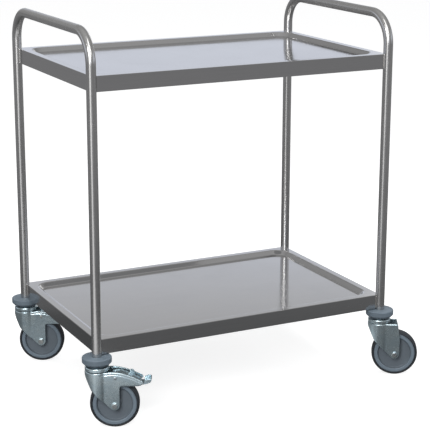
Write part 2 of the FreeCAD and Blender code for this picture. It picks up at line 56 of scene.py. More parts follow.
def make(name, verts, faces, mat, body, slot=None, uvs=None, sharp=38.0, place=None, mats=None, mat_ids=None):
    """A finished mesh piece riding on its body. verts in mm in the piece's own frame, place a matrix in metres."""
    me = bpy.data.meshes.new(name)
    # faces must look outwards: the signed volume tells
    A = np.array(verts, float)
    A = A - A.mean(0)
    tri = np.array([(f[0], f[i], f[i + 1]) for f in faces for i in range(1, len(f) - 1)], int)
    if float((A[tri[:, 0]] * np.cross(A[tri[:, 1]], A[tri[:, 2]])).sum()) < 0:
        faces = [tuple(reversed(f)) for f in faces]
    pts = [(v[0] * MM, v[1] * MM, v[2] * MM) for v in verts]
    me.from_pydata(pts, [], [tuple(int(i) for i in f) for f in faces])
    if place is not None:
        me.transform(place)
    me.validate()
    for m in (mats or [mat]):
        me.materials.append(m)
    if mat_ids is not None and len(mat_ids) == len(me.polygons):
        me.polygons.foreach_set("material_index", mat_ids)
    me.polygons.foreach_set("use_smooth", [True] * len(me.polygons))
    me.update()
    me.set_sharp_from_angle(angle=math.radians(sharp))
    layer = me.uv_layers.new(name="grain")
    if uvs is not None:
        idx = np.zeros(len(me.loops), int)
        me.loops.foreach_get("vertex_index", idx)
        flat = np.array(uvs, float)[idx] * MM
        layer.data.foreach_set("uv", flat.ravel())
    else:
        for p in me.polygons:
            n = p.normal
            for li in p.loop_indices:
                c = me.vertices[me.loops[li].vertex_index].co
                if abs(n.z) > 0.5:
                    uv = (c.x, c.y)
                elif abs(n.y) > abs(n.x):
                    uv = (c.x, c.z)
                else:
                    uv = (c.y, c.z)
                layer.data[li].uv = uv
    ob = bpy.data.objects.new(name, me)
    bpy.context.scene.collection.objects.link(ob)
    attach(ob, body)
    return ob


def fillet(pts, rads, seg=6, closed=True):
    """Rounds the corners of a 2D polyline."""
    out = []
    n = len(pts)
    for i, p in enumerate(pts):
        r = rads[i] if isinstance(rads, (list, tuple)) else rads
        if not closed and i in (0, n - 1):
            out.append(tuple(p))
            continue
        a, b, c = (np.array(pts[(i - 1) % n], float), np.array(p, float), np.array(pts[(i + 1) % n], float))
        u, w = a - b, c - b
        lu, lw = np.linalg.norm(u), np.linalg.norm(w)
        if r <= 0 or lu < 1e-9 or lw < 1e-9:
            out.append(tuple(b))
            continue
        u, w = u / lu, w / lw
        cosx = float(np.clip(u @ w, -1, 1))
        ang = math.acos(cosx)
        if ang > math.pi - 0.02 or ang < 0.02:
            out.append(tuple(b))
            continue
        t = min(r / math.tan(ang / 2), lu * 0.49, lw * 0.49)
        rr = t * math.tan(ang / 2)
        centre = b + (u + w) / np.linalg.norm(u + w) * (rr / math.sin(ang / 2))
        s, e = b + u * t - centre, b + w * t - centre
        a0, a1 = math.atan2(s[1], s[0]), math.atan2(e[1], e[0])
        d = (a1 - a0 + math.pi) % (2 * math.pi) - math.pi
        k = max(2, int(math.ceil(seg * abs(d) / (math.pi / 2))))
        for j in range(k + 1):
            th = a0 + d * j / k
            out.append((centre[0] + rr * math.cos(th), centre[1] + rr * math.sin(th)))
    return out


def support(pts, gap=0.55, least=2.4, closed=True):
    """Adds a point close to each end of the long straights, so that flats stay flat under smooth shading."""
    out = []
    n = len(pts)
    for i in range(n):
        a = np.array(pts[i], float)
        out.append(tuple(a))
        if i == n - 1 and not closed:
            break
        b = np.array(pts[(i + 1) % n], float)
        d = float(np.linalg.norm(b - a))
        if d > least:
            out.append(tuple(a + (b - a) * gap / d))
            out.append(tuple(b - (b - a) * gap / d))
    return out


def spline(pts, n=8):
    """Catmull-Rom through 2D points, open."""
    P = [np.array(p, float) for p in pts]
    P = [2 * P[0] - P[1]] + P + [2 * P[-1] - P[-2]]
    out = []
    for i in range(1, len(P) - 2):
        for j in range(n):
            t = j / n
            a, b, c, d = P[i - 1], P[i], P[i + 1], P[i + 2]
            out.append(tuple(0.5 * ((2 * b) + (-a + c) * t + (2 * a - 5 * b + 4 * c - d) * t * t + (-a + 3 * b - 3 * c + d) * t ** 3)))
    out.append(tuple(P[-2]))
    return out


def resample(poly, step, closed=True):
    """Points along a polyline no further apart than step, keeping its own points."""
    out = []
    n = len(poly)
    for i in range(n if closed else n - 1):
        a, b = np.array(poly[i], float), np.array(poly[(i + 1) % n], float)
        k = max(1, int(math.ceil(np.linalg.norm(b - a) / step)))
        for j in range(k):
            out.append(tuple(a + (b - a) * j / k))
    if not closed:
        out.append(tuple(poly[-1]))
    keep = []
    for p in out:
        if not keep or math.dist(p, keep[-1]) > 0.04:
            keep.append(p)
    if closed and len(keep) > 2 and math.dist(keep[0], keep[-1]) < 0.04:
        keep.pop()
    return keep


def inset(poly, d):
    """A closed CCW polygon moved inwards by d."""
    P = np.array(poly, float)
    a = P - np.roll(P, 1, 0)
    b = np.roll(P, -1, 0) - P
    a /= np.maximum(np.linalg.norm(a, axis=1, keepdims=True), 1e-9)
    b /= np.maximum(np.linalg.norm(b, axis=1, keepdims=True), 1e-9)
    na = np.stack([-a[:, 1], a[:, 0]], 1)
    nb = np.stack([-b[:, 1], b[:, 0]], 1)
    m = na + nb
    m /= np.maximum(np.linalg.norm(m, axis=1, keepdims=True), 1e-9)
    k = 1.0 / np.maximum((m * na).sum(1), 0.5)
    return P + m * (d * k)[:, None]


def area2(poly):
    P = np.array(poly, float)
    Q = np.roll(P, -1, 0)
    return float((P[:, 0] * Q[:, 1] - Q[:, 0] * P[:, 1]).sum())


def inside(points, polys):
    pts = np.array(points, float)
    hit = np.zeros(len(pts), bool)
    for poly in polys:
        P = np.array(poly, float)
        Q = np.roll(P, -1, 0)
        for (x0, y0), (x1, y1) in zip(P, Q):
            c = ((y0 > pts[:, 1]) != (y1 > pts[:, 1]))
            if not c.any() or y1 == y0:
                continue
            xi = (x1 - x0) * (pts[:, 1] - y0) / (y1 - y0) + x0
            hit ^= c & (pts[:, 0] < xi)
    return hit


def plate(outlines, thick, wrap=None, edge=0.6, step=2.0, grid=2.6, rings=3, rows=None):
    """A closed plate with rounded edges from flat outlines (first one outer, the rest holes). wrap(u, v) puts the outer
    face in space as an (n, 3) array; the thickness goes inwards, against the face's normal. Returns verts, faces, uvs."""
    wrap = wrap or (lambda u, v: np.stack([u, v, np.zeros_like(u)], 1))
    loops = []
    for i, o in enumerate(outlines):
        o = resample(o, step)
        if (area2(o) > 0) != (i == 0):
            o = o[::-1]
        loops.append(np.array(o, float))
    edge = min(edge, thick / 2 - 1e-3)
    face_loops = [inset(o, edge) for o in loops]
    lo, hi = loops[0].min(0), loops[0].max(0)
    gx = np.arange(lo[0] + grid / 2, hi[0], grid)
    gy = np.arange(lo[1] + grid / 2, hi[1], grid * 0.866)
    cand = []
    for j, y in enumerate(gy):
        cand += [(x + (grid / 2 if j % 2 else 0), y) for x in gx]
    cand = np.array(cand)
    ok = inside(cand, face_loops)
    cand = cand[ok]
    rim = np.concatenate(face_loops)
    if len(cand):
        d = np.sqrt(((cand[:, None, :] - rim[None, :, :]) ** 2).sum(2)).min(1)
        cand = cand[d > grid * 0.62]
    if rows is not None:  # ordered points that follow a rolled or stepped edge
        rows = np.array(rows, float)
        rows = rows[inside(rows, face_loops)]
        d = np.sqrt(((rows[:, None, :] - rim[None, :, :]) ** 2).sum(2)).min(1)
        rows = rows[d > 0.45]
        d = np.sqrt(((cand[:, None, :] - rows[None, :, :]) ** 2).sum(2)).min(1)
        cand = np.concatenate([cand[d > grid * 0.6], rows])
    pts, edges, start = [], [], 0
    for o in face_loops:
        n = len(o)
        pts += [tuple(p) for p in o]
        edges += [(start + i, start + (i + 1) % n) for i in range(n)]
        start += n
    n_rim = start
    pts += [tuple(p) for p in cand]
    vo, _, fo, vmap, _, _ = delaunay_2d_cdt([Vector(p) for p in pts], edges, [], 0, 1e-5)
    vo = np.array([tuple(v) for v in vo], float)
    tri = np.array([f for f in fo if len(f) == 3], int)
    cent = vo[tri].mean(1)
    tri = tri[inside(cent, face_loops)]
    back = {}
    for new, olds in enumerate(vmap):
        for o in olds:
            back[o] = new
    out_of = lambda i: back.get(i, i)
    n_face = len(vo)
    U, Wd = [vo], [np.zeros(n_face)]
    ring_ids = []
    base = n_face
    start = 0
    for o in loops:
        n = len(o)
        first = [out_of(start + i) for i in range(n)]
        stack = [first]
        prof = []
        for k in range(1, rings + 1):
            th = math.pi / 2 * k / rings
            prof.append((edge * (1 - math.sin(th)), edge * (1 - math.cos(th))))
        for k in range(0, rings + 1):
            th = math.pi / 2 * k / rings
            if k == 0 and thick - 2 * edge < 0.01:
                continue
            prof.append((edge * (1 - math.cos(th)), thick - edge * (1 - math.sin(th))))
        prof.pop()
        for d, w in prof:
            U.append(inset(o, d))
            Wd.append(np.full(n, w))
            stack.append(list(range(base, base + n)))
            base += n
        ring_ids.append((first, stack))
        start += n
    low_start = base
    U.append(vo)
    Wd.append(np.full(n_face, thick))
    U, Wd = np.concatenate(U), np.concatenate(Wd)
    e = 0.05
    p0 = wrap(U[:, 0], U[:, 1])
    du = wrap(U[:, 0] + e, U[:, 1]) - wrap(U[:, 0] - e, U[:, 1])
    dv = wrap(U[:, 0], U[:, 1] + e) - wrap(U[:, 0], U[:, 1] - e)
    nn = np.cross(du, dv)
    nn /= np.maximum(np.linalg.norm(nn, axis=1, keepdims=True), 1e-12)
    V = p0 - nn * Wd[:, None]
    faces = [tuple(t) for t in tri] + [tuple(reversed([i + low_start for i in t])) for t in tri]
    for first, stack in ring_ids:
        last = [i + low_start for i in first]
        stack = stack + [last]
        n = len(first)
        for a, b in zip(stack, stack[1:]):
            for i in range(n):
                j = (i + 1) % n
                faces.append((a[i], b[i], b[j], a[j]))
    return V, faces, U


def lathe(prof, seg=96, closed=True, axis="z"):
    """prof: (r, z) points, counter-clockwise closed section, or an open one that starts and ends on the axis."""
    prof = support(prof, closed=closed)
    verts, faces, uvs = [], [], []
    n = len(prof)
    arc = [0.0]
    for a, b in zip(prof, prof[1:]):
        arc.append(arc[-1] + math.dist(a, b))
    rings = []
    for k, (r, z) in enumerate(prof):
        if r < 1e-6:
            rings.append([len(verts)])
            verts.append((0, 0, z))
            uvs.append((0, arc[k]))
        else:
            ids = []
            for i in range(seg):
                t = 2 * math.pi * i / seg
                ids.append(len(verts))
                verts.append((r * math.cos(t), r * math.sin(t), z))
                uvs.append((t * 30, arc[k]))
            rings.append(ids)
    pairs = list(zip(rings, rings[1:])) + ([(rings[-1], rings[0])] if closed else [])
    for a, b in pairs:
        for i in range(seg):
            j = (i + 1) % seg
            if len(a) == 1 and len(b) == 1:
                continue
            if len(a) == 1:
                faces.append((a[0], b[i], b[j]))
            elif len(b) == 1:
                faces.append((a[i], b[0], a[j]))
            else:
                faces.append((a[i], b[i], b[j], a[j]))
    return verts, faces, uvs


def join(*parts):
    """Joins (verts, faces, uvs) sets."""
    V, F, U = [], [], []
    for v, f, u in parts:
        b = len(V)
        V += [tuple(x) for x in v]
        F += [tuple(i + b for i in g) for g in f]
        U += [tuple(x) for x in u]
    return V, F, U


def moved(part, m):
    v, f, u = part
    A = np.array(m, float)
    v = np.array(v, float) @ A[:3, :3].T + A[:3, 3]
    if np.linalg.det(A[:3, :3]) < 0:
        f = [tuple(reversed(g)) for g in f]
    return v, f, u


def mat4(x=(1, 0, 0), y=(0, 1, 0), z=(0, 0, 1), o=(0, 0, 0)):
    return np.array([[x[0], y[0], z[0], o[0]], [x[1], y[1], z[1], o[1]], [x[2], y[2], z[2], o[2]], [0, 0, 0, 1]], float)


# ------------------------------------------------------------------ materials


class Net:
    def __init__(self, name):
        self.m = bpy.data.materials.new(name)
        self.m.use_nodes = True
        self.t = self.m.node_tree
        self.p = self.t.nodes["Principled BSDF"]

    def node(self, kind, **k):
        n = self.t.nodes.new(kind)
        for a, b in k.items():
            setattr(n, a, b)
        return n

    def set(self, n, **k):
        for a, b in k.items():
            n.inputs[a.replace("_", " ")].default_value = b
        return n

    def link(self, a, b):
        self.t.links.new(a, b)

    def coords(self, what="Object", scale=(1, 1, 1), rot=(0, 0, 0)):
        tc = self.node("ShaderNodeTexCoord")
        mp = self.node("ShaderNodeMapping")
        mp.inputs["Scale"].default_value = scale
        mp.inputs["Rotation"].default_value = rot
        self.link(tc.outputs[what], mp.inputs["Vector"])
        return mp.outputs["Vector"]

    def noise(self, vec, scale=10.0, detail=3.0, rough=0.5, dist=0.0):
        n = self.node("ShaderNodeTexNoise")
        n.inputs["Scale"].default_value = scale
        n.inputs["Detail"].default_value = detail
        n.inputs["Roughness"].default_value = rough
        n.inputs["Distortion"].default_value = dist
        self.link(vec, n.inputs["Vector"])
        return n.outputs["Fac"]

    def ramp(self, fac, stops, interp="LINEAR"):
        r = self.node("ShaderNodeValToRGB")
        r.color_ramp.interpolation = interp
        el = r.color_ramp.elements
        while len(el) < len(stops):
            el.new(0.5)
        for e, (pos, col) in zip(el, stops):
            e.position = pos
            e.color = (*col, 1.0) if isinstance(col, (tuple, list)) else (col, col, col, 1.0)
        self.link(fac, r.inputs["Fac"])
        return r.outputs["Color"]

    def mapr(self, fac, a, b, lo=0.0, hi=1.0):
        r = self.node("ShaderNodeMapRange")
        r.inputs["From Min"].default_value = lo
        r.inputs["From Max"].default_value = hi
        r.inputs["To Min"].default_value = a
        r.inputs["To Max"].default_value = b
        self.link(fac, r.inputs["Value"])
        return r.outputs["Result"]

    def math(self, op, a, b):
        n = self.node("ShaderNodeMath", operation=op)
        for i, x in enumerate((a, b)):
            if isinstance(x, (int, float)):
                n.inputs[i].default_value = x
            else:
                self.link(x, n.inputs[i])
        return n.outputs[0]

    def mix(self, fac, a, b, mode="MIX"):
        n = self.node("ShaderNodeMix", data_type="RGBA", blend_type=mode)
        for sock, x in ((n.inputs[0], fac), (n.inputs[6], a), (n.inputs[7], b)):
            if hasattr(x, "links"):
                self.link(x, sock)
            elif isinstance(x, (int, float)):
                sock.default_value = x if sock.type == "VALUE" else (x, x, x, 1)
            else:
                sock.default_value = (*x, 1)
        return n.outputs[2]

    def bump(self, h, strength=0.2, dist=0.0005, normal=None):
        b = self.node("ShaderNodeBump")
        b.inputs["Strength"].default_value = strength
        b.inputs["Distance"].default_value = dist
        self.link(h, b.inputs["Height"])
        if normal is not None:
            self.link(normal, b.inputs["Normal"])
        return b.outputs["Normal"]

    def out(self, color=None, rough=None, normal=None, **k):
        p = self.p
        for name, x in (("Base Color", color), ("Roughness", rough)):
            if x is None:
                continue
            if hasattr(x, "links"):
                self.link(x, p.inputs[name])
            elif isinstance(x, (int, float)):
                p.inputs[name].default_value = x
            else:
                p.inputs[name].default_value = (*x, 1)
        if normal is not None:
            self.link(normal, p.inputs["Normal"])
        for a, b in k.items():
            p.inputs[a.replace("_", " ")].default_value = b
        return self.m


def stainless(name, tone=(0.62, 0.62, 0.63), rough=(0.2, 0.3), aniso=0.55, lines=(6.0, 4200.0), depth=0.06, smudge=0.05, flow=0.0):
    """Satin stainless steel: fine grain along U of the piece's own grain map, tiny waviness, cloudy handling marks."""
    n = Net(name)
    uv = n.coords("UV", scale=(lines[0], lines[1], 1))
    fine = n.noise(uv, 1.0, 4.0, 0.65)
    uv2 = n.coords("UV", scale=(lines[0] * 0.35, lines[1] * 0.16, 1))
    wide = n.noise(uv2, 1.0, 3.0, 0.6)
    ob = n.coords("Object")
    cloud = n.noise(ob, 7.0, 4.0, 0.55, 0.6)
    wave = n.noise(ob, 3.2, 2.0, 0.4)
    grain = n.math("ADD", n.math("MULTIPLY", fine, 0.65), n.math("MULTIPLY", wide, 0.35))
    dark = tuple(c * (1 - 0.10) for c in tone)
    light = tuple(min(1, c * 1.06) for c in tone)
    col = n.mix(n.mapr(grain, 0, 1, 0.3, 0.7), dark, light)
    col = n.mix(n.mapr(cloud, 0, smudge * 2, 0.45, 0.75), col, tuple(c * 0.8 for c in tone))
    r = n.math("ADD", n.mapr(grain, rough[0], rough[1], 0.3, 0.7), n.mapr(cloud, -smudge * 0.5, smudge, 0.3, 0.75))
    nor = n.bump(grain, depth, 0.00012)
    if flow:
        nor = n.bump(wave, flow, 0.0006, nor)
    tan = n.node("ShaderNodeTangent", direction_type="UV_MAP", uv_map="grain")
    n.link(tan.outputs[0], n.p.inputs["Tangent"])
    return n.out(col, r, nor, Metallic=1.0, Anisotropic=aniso, Anisotropic_Rotation=0.25)


def zinc(name, tone=(0.60, 0.735, 0.80), warm=(0.63, 0.735, 0.77), rough=(0.20, 0.27), pits=0.012, metal=0.93):
    """Bright zinc plate with the bluish passivation of castor parts."""
    n = Net(name)
    ob = n.coords("Object")
    big = n.noise(ob, 38.0, 3.0, 0.6, 0.8)
    mid = n.noise(ob, 160.0, 4.0, 0.6)
    fine = n.noise(ob, 1500.0, 3.0, 0.55)
    col = n.mix(n.mapr(big, 0, 1, 0.35, 0.65), tone, warm)
    col = n.mix(n.mapr(mid, 0, 0.06, 0.5, 0.8), col, tuple(c * 0.78 for c in tone))
    r = n.math("ADD", n.mapr(big, rough[0], rough[1], 0.3, 0.7), n.mapr(mid, -0.02, 0.04, 0.35, 0.7))
    nor = n.bump(fine, pits, 0.0001)
    nor = n.bump(mid, 0.012, 0.0003, nor)
    return n.out(col, r, nor, Metallic=metal)


def moulded(name, tone, dark, rough=(0.45, 0.62), grain=900.0, depth=0.25, spec=0.4, wear=0.15):
    """Moulded plastic or rubber with a fine spark-eroded texture, dust and handling variation."""
    n = Net(name)
    ob = n.coords("Object")
    big = n.noise(ob, 22.0, 4.0, 0.55, 0.5)
    tex = n.noise(ob, grain, 3.0, 0.6)
    spots = n.noise(ob, 420.0, 2.0, 0.5)
    col = n.mix(n.mapr(big, 0, 1, 0.3, 0.7), tone, dark)
    col = n.mix(n.mapr(spots, 0, wear, 0.55, 0.75), col, tuple(min(1, c * 1.35 + 0.02) for c in tone))
    r = n.math("ADD", n.mapr(tex, rough[0], rough[1], 0.3, 0.7), n.mapr(big, -0.04, 0.05, 0.3, 0.7))
    nor = n.bump(tex, depth, 0.00018)
    nor = n.bump(big, 0.08, 0.0008, nor)
    return n.out(col, r, nor, Specular_IOR_Level=spec)


M_TUBE = stainless("tube_satin", tone=(0.61, 0.605, 0.60), rough=(0.20, 0.27), aniso=0.5, lines=(2600.0, 10.0), depth=0.03)
M_TUBE.node_tree.nodes["Principled BSDF"].inputs["Anisotropic Rotation"].default_value = 0.0
M_DECK = stainless("deck_satin", tone=(0.60, 0.597, 0.60), rough=(0.09, 0.14), aniso=0.35, lines=(7.0, 3800.0), depth=0.02, smudge=0.03, flow=0.03)
M_WELD = stainless("weld_bead", tone=(0.33, 0.32, 0.305), rough=(0.38, 0.48), aniso=0.2, lines=(500.0, 900.0), depth=0.25)
M_ZINC = zinc("zinc_plate")
M_BOLT = zinc("bolt_zinc", tone=(0.56, 0.61, 0.65), warm=(0.55, 0.56, 0.53), rough=(0.22, 0.34))
M_BALL = zinc("bearing_steel_greased", tone=(0.42, 0.42, 0.43), warm=(0.34, 0.32, 0.28), rough=(0.12, 0.28), pits=0.03)
M_BUMP = moulded("grey_bumper_plastic", (0.150, 0.190, 0.228), (0.128, 0.165, 0.200), rough=(0.46, 0.60), grain=1400.0)
M_WHEEL = moulded("grey_wheel_plastic", (0.150, 0.178, 0.205), (0.130, 0.156, 0.182), rough=(0.42, 0.55), grain=1300.0, depth=0.18)
M_RING = moulded("grey_ring_plastic", (0.195, 0.245, 0.290), (0.172, 0.217, 0.260), rough=(0.36, 0.48), grain=1300.0, depth=0.12)
M_TYRE = moulded("tyre_rubber", (0.030, 0.034, 0.040), (0.022, 0.025, 0.030), rough=(0.55, 0.72), grain=1100.0, depth=0.3, spec=0.35)
M_SHOE = moulded("shoe_rubber", (0.020, 0.021, 0.022), (0.014, 0.015, 0.016), rough=(0.6, 0.75), grain=1600.0)
M_PLUG = moulded("plug_plastic", (0.025, 0.026, 0.028), (0.018, 0.018, 0.020), rough=(0.4, 0.5), grain=1600.0)

# ------------------------------------------------------------------ where things are

boxes = {n: tuple(Vector(c) * 1000 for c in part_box(n)) for n in NODES}
CASTORS = ["front_left", "front_right", "back_left", "back_right"]
BRAKED = ["front_left", "back_left"]
axis_of = {j["child"]: j["axis"] for j in frame["joints"]}


def swivel_point(c):
    lo, hi = boxes[c + "_stem_plug"]
    return (lo + hi) / 2


def castor_place(c, turned=True):
    """From the castor's own frame (swivel axis at floor level, +X trailing, axle along Y) to the model, in metres."""
    p = swivel_point(c) * MM
    m = Matrix.Translation((p.x, p.y, 0))
    if turned:
        ax = axis_of[c + "_wheel"]
        m = m @ Matrix.Rotation(math.atan2(-ax[0], ax[1]), 4, "Z")
    return m


CX = (swivel_point("front_left").x + swivel_point("front_right").x) / 2
CY = (swivel_point("front_left").y + swivel_point("back_left").y) / 2
HX = (swivel_point("front_right").x - swivel_point("front_left").x) / 2
HY = (swivel_point("back_left").y - swivel_point("front_left").y) / 2
MID = Matrix.Translation((CX * MM, CY * MM, 0))
TUBE_R, TUBE_WALL, BEND = 12.5, 1.5, 78.0
TOP_Z = boxes["left_end_frame"][1].z
FOOT_Z = boxes["left_end_frame"][0].z
DECKS = {"upper_shelf": boxes["upper_shelf"][1].z, "lower_shelf": boxes["lower_shelf"][1].z}

# ------------------------------------------------------------------ end frames: bent tube


def tube_frame(side):
    name = ("left" if side < 0 else "right") + "_end_frame"
    zc = TOP_Z - TUBE_R
    stations = []  # (y, z, ty, tz) centre and direction

    def leg(y, z0, z1, k):
        for i in range(k + 1):
            stations.append((y, z0 + (z1 - z0) * i / k, 0.0, 1.0 if z1 > z0 else -1.0))

    leg(-HY, FOOT_Z, zc - BEND, 30)
    for i in range(1, 33):
        t = math.pi / 2 * i / 32
        stations.append((-HY + BEND - BEND * math.cos(t), zc - BEND + BEND * math.sin(t), math.sin(t), math.cos(t)))
    for i in range(1, 17):
        stations.append((-HY + BEND + (2 * HY - 2 * BEND) * i / 16, zc, 1.0, 0.0))
    for i in range(1, 33):
        t = math.pi / 2 * i / 32
        stations.append((HY - BEND + BEND * math.sin(t), zc - BEND + BEND * math.cos(t), math.cos(t), -math.sin(t)))
    n0 = len(stations)
    leg(HY, zc - BEND, FOOT_Z, 30)
    del stations[n0]
    seg, V, F, U = 72, [], [], []
    s = 0.0
    rows = []

    def ring(st, r, along, shift=0.0):
        y, z, ty, tz = st
        ids = []
        for i in range(seg + 1):
            a = 2 * math.pi * i / seg
            # local frame: X axis of the model and the in-plane normal
            ny, nz = -tz, ty
            cx, cn = math.cos(a), math.sin(a)
            V.append((r * cx, y + shift * ty + r * cn * ny, z + shift * tz + r * cn * nz))
            U.append((along, a * TUBE_R))
            ids.append(len(V) - 1)
        return ids

    first, last = stations[0], stations[-1]
    rows.append(ring(first, TUBE_R - TUBE_WALL, -60, 50.0))
    rows.append(ring(first, TUBE_R - TUBE_WALL, -3, 0.4))
    rows.append(ring(first, TUBE_R - TUBE_WALL + 0.4, -2, 0.0))
    rows.append(ring(first, TUBE_R - 0.4, -1, 0.0))
    rows.append(ring(first, TUBE_R - 0.12, -0.5, 0.12))
    prev = None
    for k, st in enumerate(stations):
        if prev is not None:
            s += math.dist(prev[:2], st[:2])
        rows.append(ring(st, TUBE_R, s, 0.4 if k == 0 else (-0.4 if k == len(stations) - 1 else 0)))
        prev = st
    rows.append(ring(last, TUBE_R - 0.12, s + 0.5, -0.12))
    rows.append(ring(last, TUBE_R - 0.4, s + 1, 0.0))
    rows.append(ring(last, TUBE_R - TUBE_WALL + 0.4, s + 2, 0.0))
    rows.append(ring(last, TUBE_R - TUBE_WALL, s + 3, -0.4))
    rows.append(ring(last, TUBE_R - TUBE_WALL, s + 60, -50.0))
    for a, b in zip(rows, rows[1:]):
        for i in range(seg):
            F.append((a[i], a[i + 1], b[i + 1], b[i]))
    place = MID @ Matrix.Translation((side * HX * MM, 0, 0))
    ob = make(name + "_tube", V, F, M_TUBE, "cart_frame", "satin_stainless", uvs=U, sharp=50, place=place)
    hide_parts(name)
    return ob


for side in (-1, 1):
    tube_frame(side)

# ------------------------------------------------------------------ shelves: pressed trays


def shelf(name, deck):
    RN = TUBE_R + 0.05
    RIM, SLOPE, DEEP, CR, TH, SK = 21.0, 10.0, 11.0, 42.0, 1.5, 39.0
    NC, NL, NS = 20, 40, 26

    def rr(ins, z, rad):
        """Rounded rectangle loop, counter-clockwise from the right side's lower corner."""
        hx, hy = HX - ins, HY - ins
        pts = []
        for (sx, sy, a0) in ((1, 1, 0), (-1, 1, 90), (-1, -1, 180), (1, -1, 270)):
            for i in range(NC + 1):
                a = math.radians(a0 + 90 * i / NC)
                pts.append((sx * (hx - rad) + rad * math.cos(a), sy * (hy - rad) + rad * math.sin(a), z))
        return pts

    def notch(ins, z):
        pts = []
        off = math.asin(ins / RN)
        for (sx, sy) in ((1, 1), (-1, 1), (-1, -1), (1, -1)):
            for i in range(NC + 1):
                f = i / NC
                a = (1.5 * math.pi - off) * (1 - f) + (math.pi + off) * f
                dx, dy = RN * math.cos(a), RN * math.sin(a)
                if (sx, sy) == (1, 1):
                    q = (dx, dy)
                elif (sx, sy) == (-1, 1):
                    q = (-dy, dx)
                elif (sx, sy) == (-1, -1):
                    q = (-dx, -dy)
                else:
                    q = (dy, -dx)
                pts.append((sx * HX + q[0], sy * HY + q[1], z))
        return pts

    def full(pts):
        """Adds the points along the straight sides."""
        out, isc = [], []
        counts = (NL, NS, NL, NS)
        for c in range(4):
            seg = pts[c * (NC + 1):(c + 1) * (NC + 1)]
            out += seg
            isc += [True] * NC + [False]
            a, b = np.array(seg[-1]), np.array(pts[((c + 1) % 4) * (NC + 1)])
            for i in range(1, counts[c]):
                out.append(tuple(a + (b - a) * i / counts[c]))
                isc.append(False)
        return out, isc

    V, F = [], []

    def add(loop):
        ids = list(range(len(V), len(V) + len(loop)))
        V.extend(loop)
        return ids

    top = fillet([(90, -DEEP), (RIM + SLOPE, -DEEP), (RIM, 0.0), (12, 0.0)], [0, 7.0, 6.0, 0], 9, closed=False)[:-1]
    top = support(top + [(top[-1][0] - 0.6, 0.0)], 0.8, closed=False)
    A = []
    for ins, z in top:
        loop, corner = full(rr(ins, deck + z, max(RIM + CR - ins, 1.0) if ins > 20.9 else RIM + CR - ins))
        A.append(add(loop))
    for ins in (3.4, 2.7, 2.2):
        loop, corner = full(notch(ins, deck))
        A.append(add(loop))
    sec = fillet([(2.2, 0.0), (0.0, 0.0), (0.0, -SK), (TH, -SK), (TH, -TH), (4.0, -TH)], [0, 2.0, 0.45, 0.45, 0.8, 0], 5, closed=False)
    sec = support(sec, closed=False)[1:-1]
    B = [add(full(notch(i, deck + z))[0]) for i, z in sec]
    C = [add(full(notch(i, deck - TH))[0]) for i in (4.0, 4.6)]
    low = fillet([(12, -TH), (RIM + 1.0, -TH), (RIM + SLOPE + 0.6, -DEEP - TH), (90, -DEEP - TH)], [0, 6.0, 7.0, 0], 9, closed=False)[1:]
    low = support([(low[0][0] - 0.6, -TH)] + low, 0.8, closed=False)
    for ins, z in low:
        C.append(add(full(rr(ins, deck + z, max(RIM + CR - ins, 1.0)))[0]))
    n = len(corner)
    A_chain, C_chain = A, C
    for chain in (A_chain, C_chain):
        for a, b in zip(chain, chain[1:]):
            for i in range(n):
                j = (i + 1) % n
                F.append((a[i], b[i], b[j], a[j]))
    for i in range(n):
        j = (i + 1) % n
        if corner[i]:
            F.append((A[-1][i], C[0][i], C[0][j], A[-1][j]))
        else:
            chain = [A[-1]] + B + [C[0]]
            for a, b in zip(chain, chain[1:]):
                F.append((a[i], b[i], b[j], a[j]))
    # the sheet's ends at the posts
    chain = [A[-1]] + B + [C[0]]
    for i in range(n):
        j = (i + 1) % n
        if corner[i] and not corner[i - 1]:
            F.append(tuple(c[i] for c in chain))
        if corner[i] and not corner[j]:
            F.append(tuple(c[j] for c in reversed(chain)))
    # the flat floor, top and underside, each as one face
    for loop, up in ((A[0], True), (C[-1], False)):
        ids = [k for k in loop]
        F.append(tuple(ids if up else reversed(ids)))
    V2 = np.array(V)
    ob = make(name + "_tray", V2, F, M_DECK, "cart_frame", "satin_stainless", sharp=32, place=MID)
    ob.modifiers.new("flats", "WEIGHTED_NORMAL").keep_sharp = True
    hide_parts(name)
    return ob


for n_, z_ in DECKS.items():
    shelf(n_, z_)

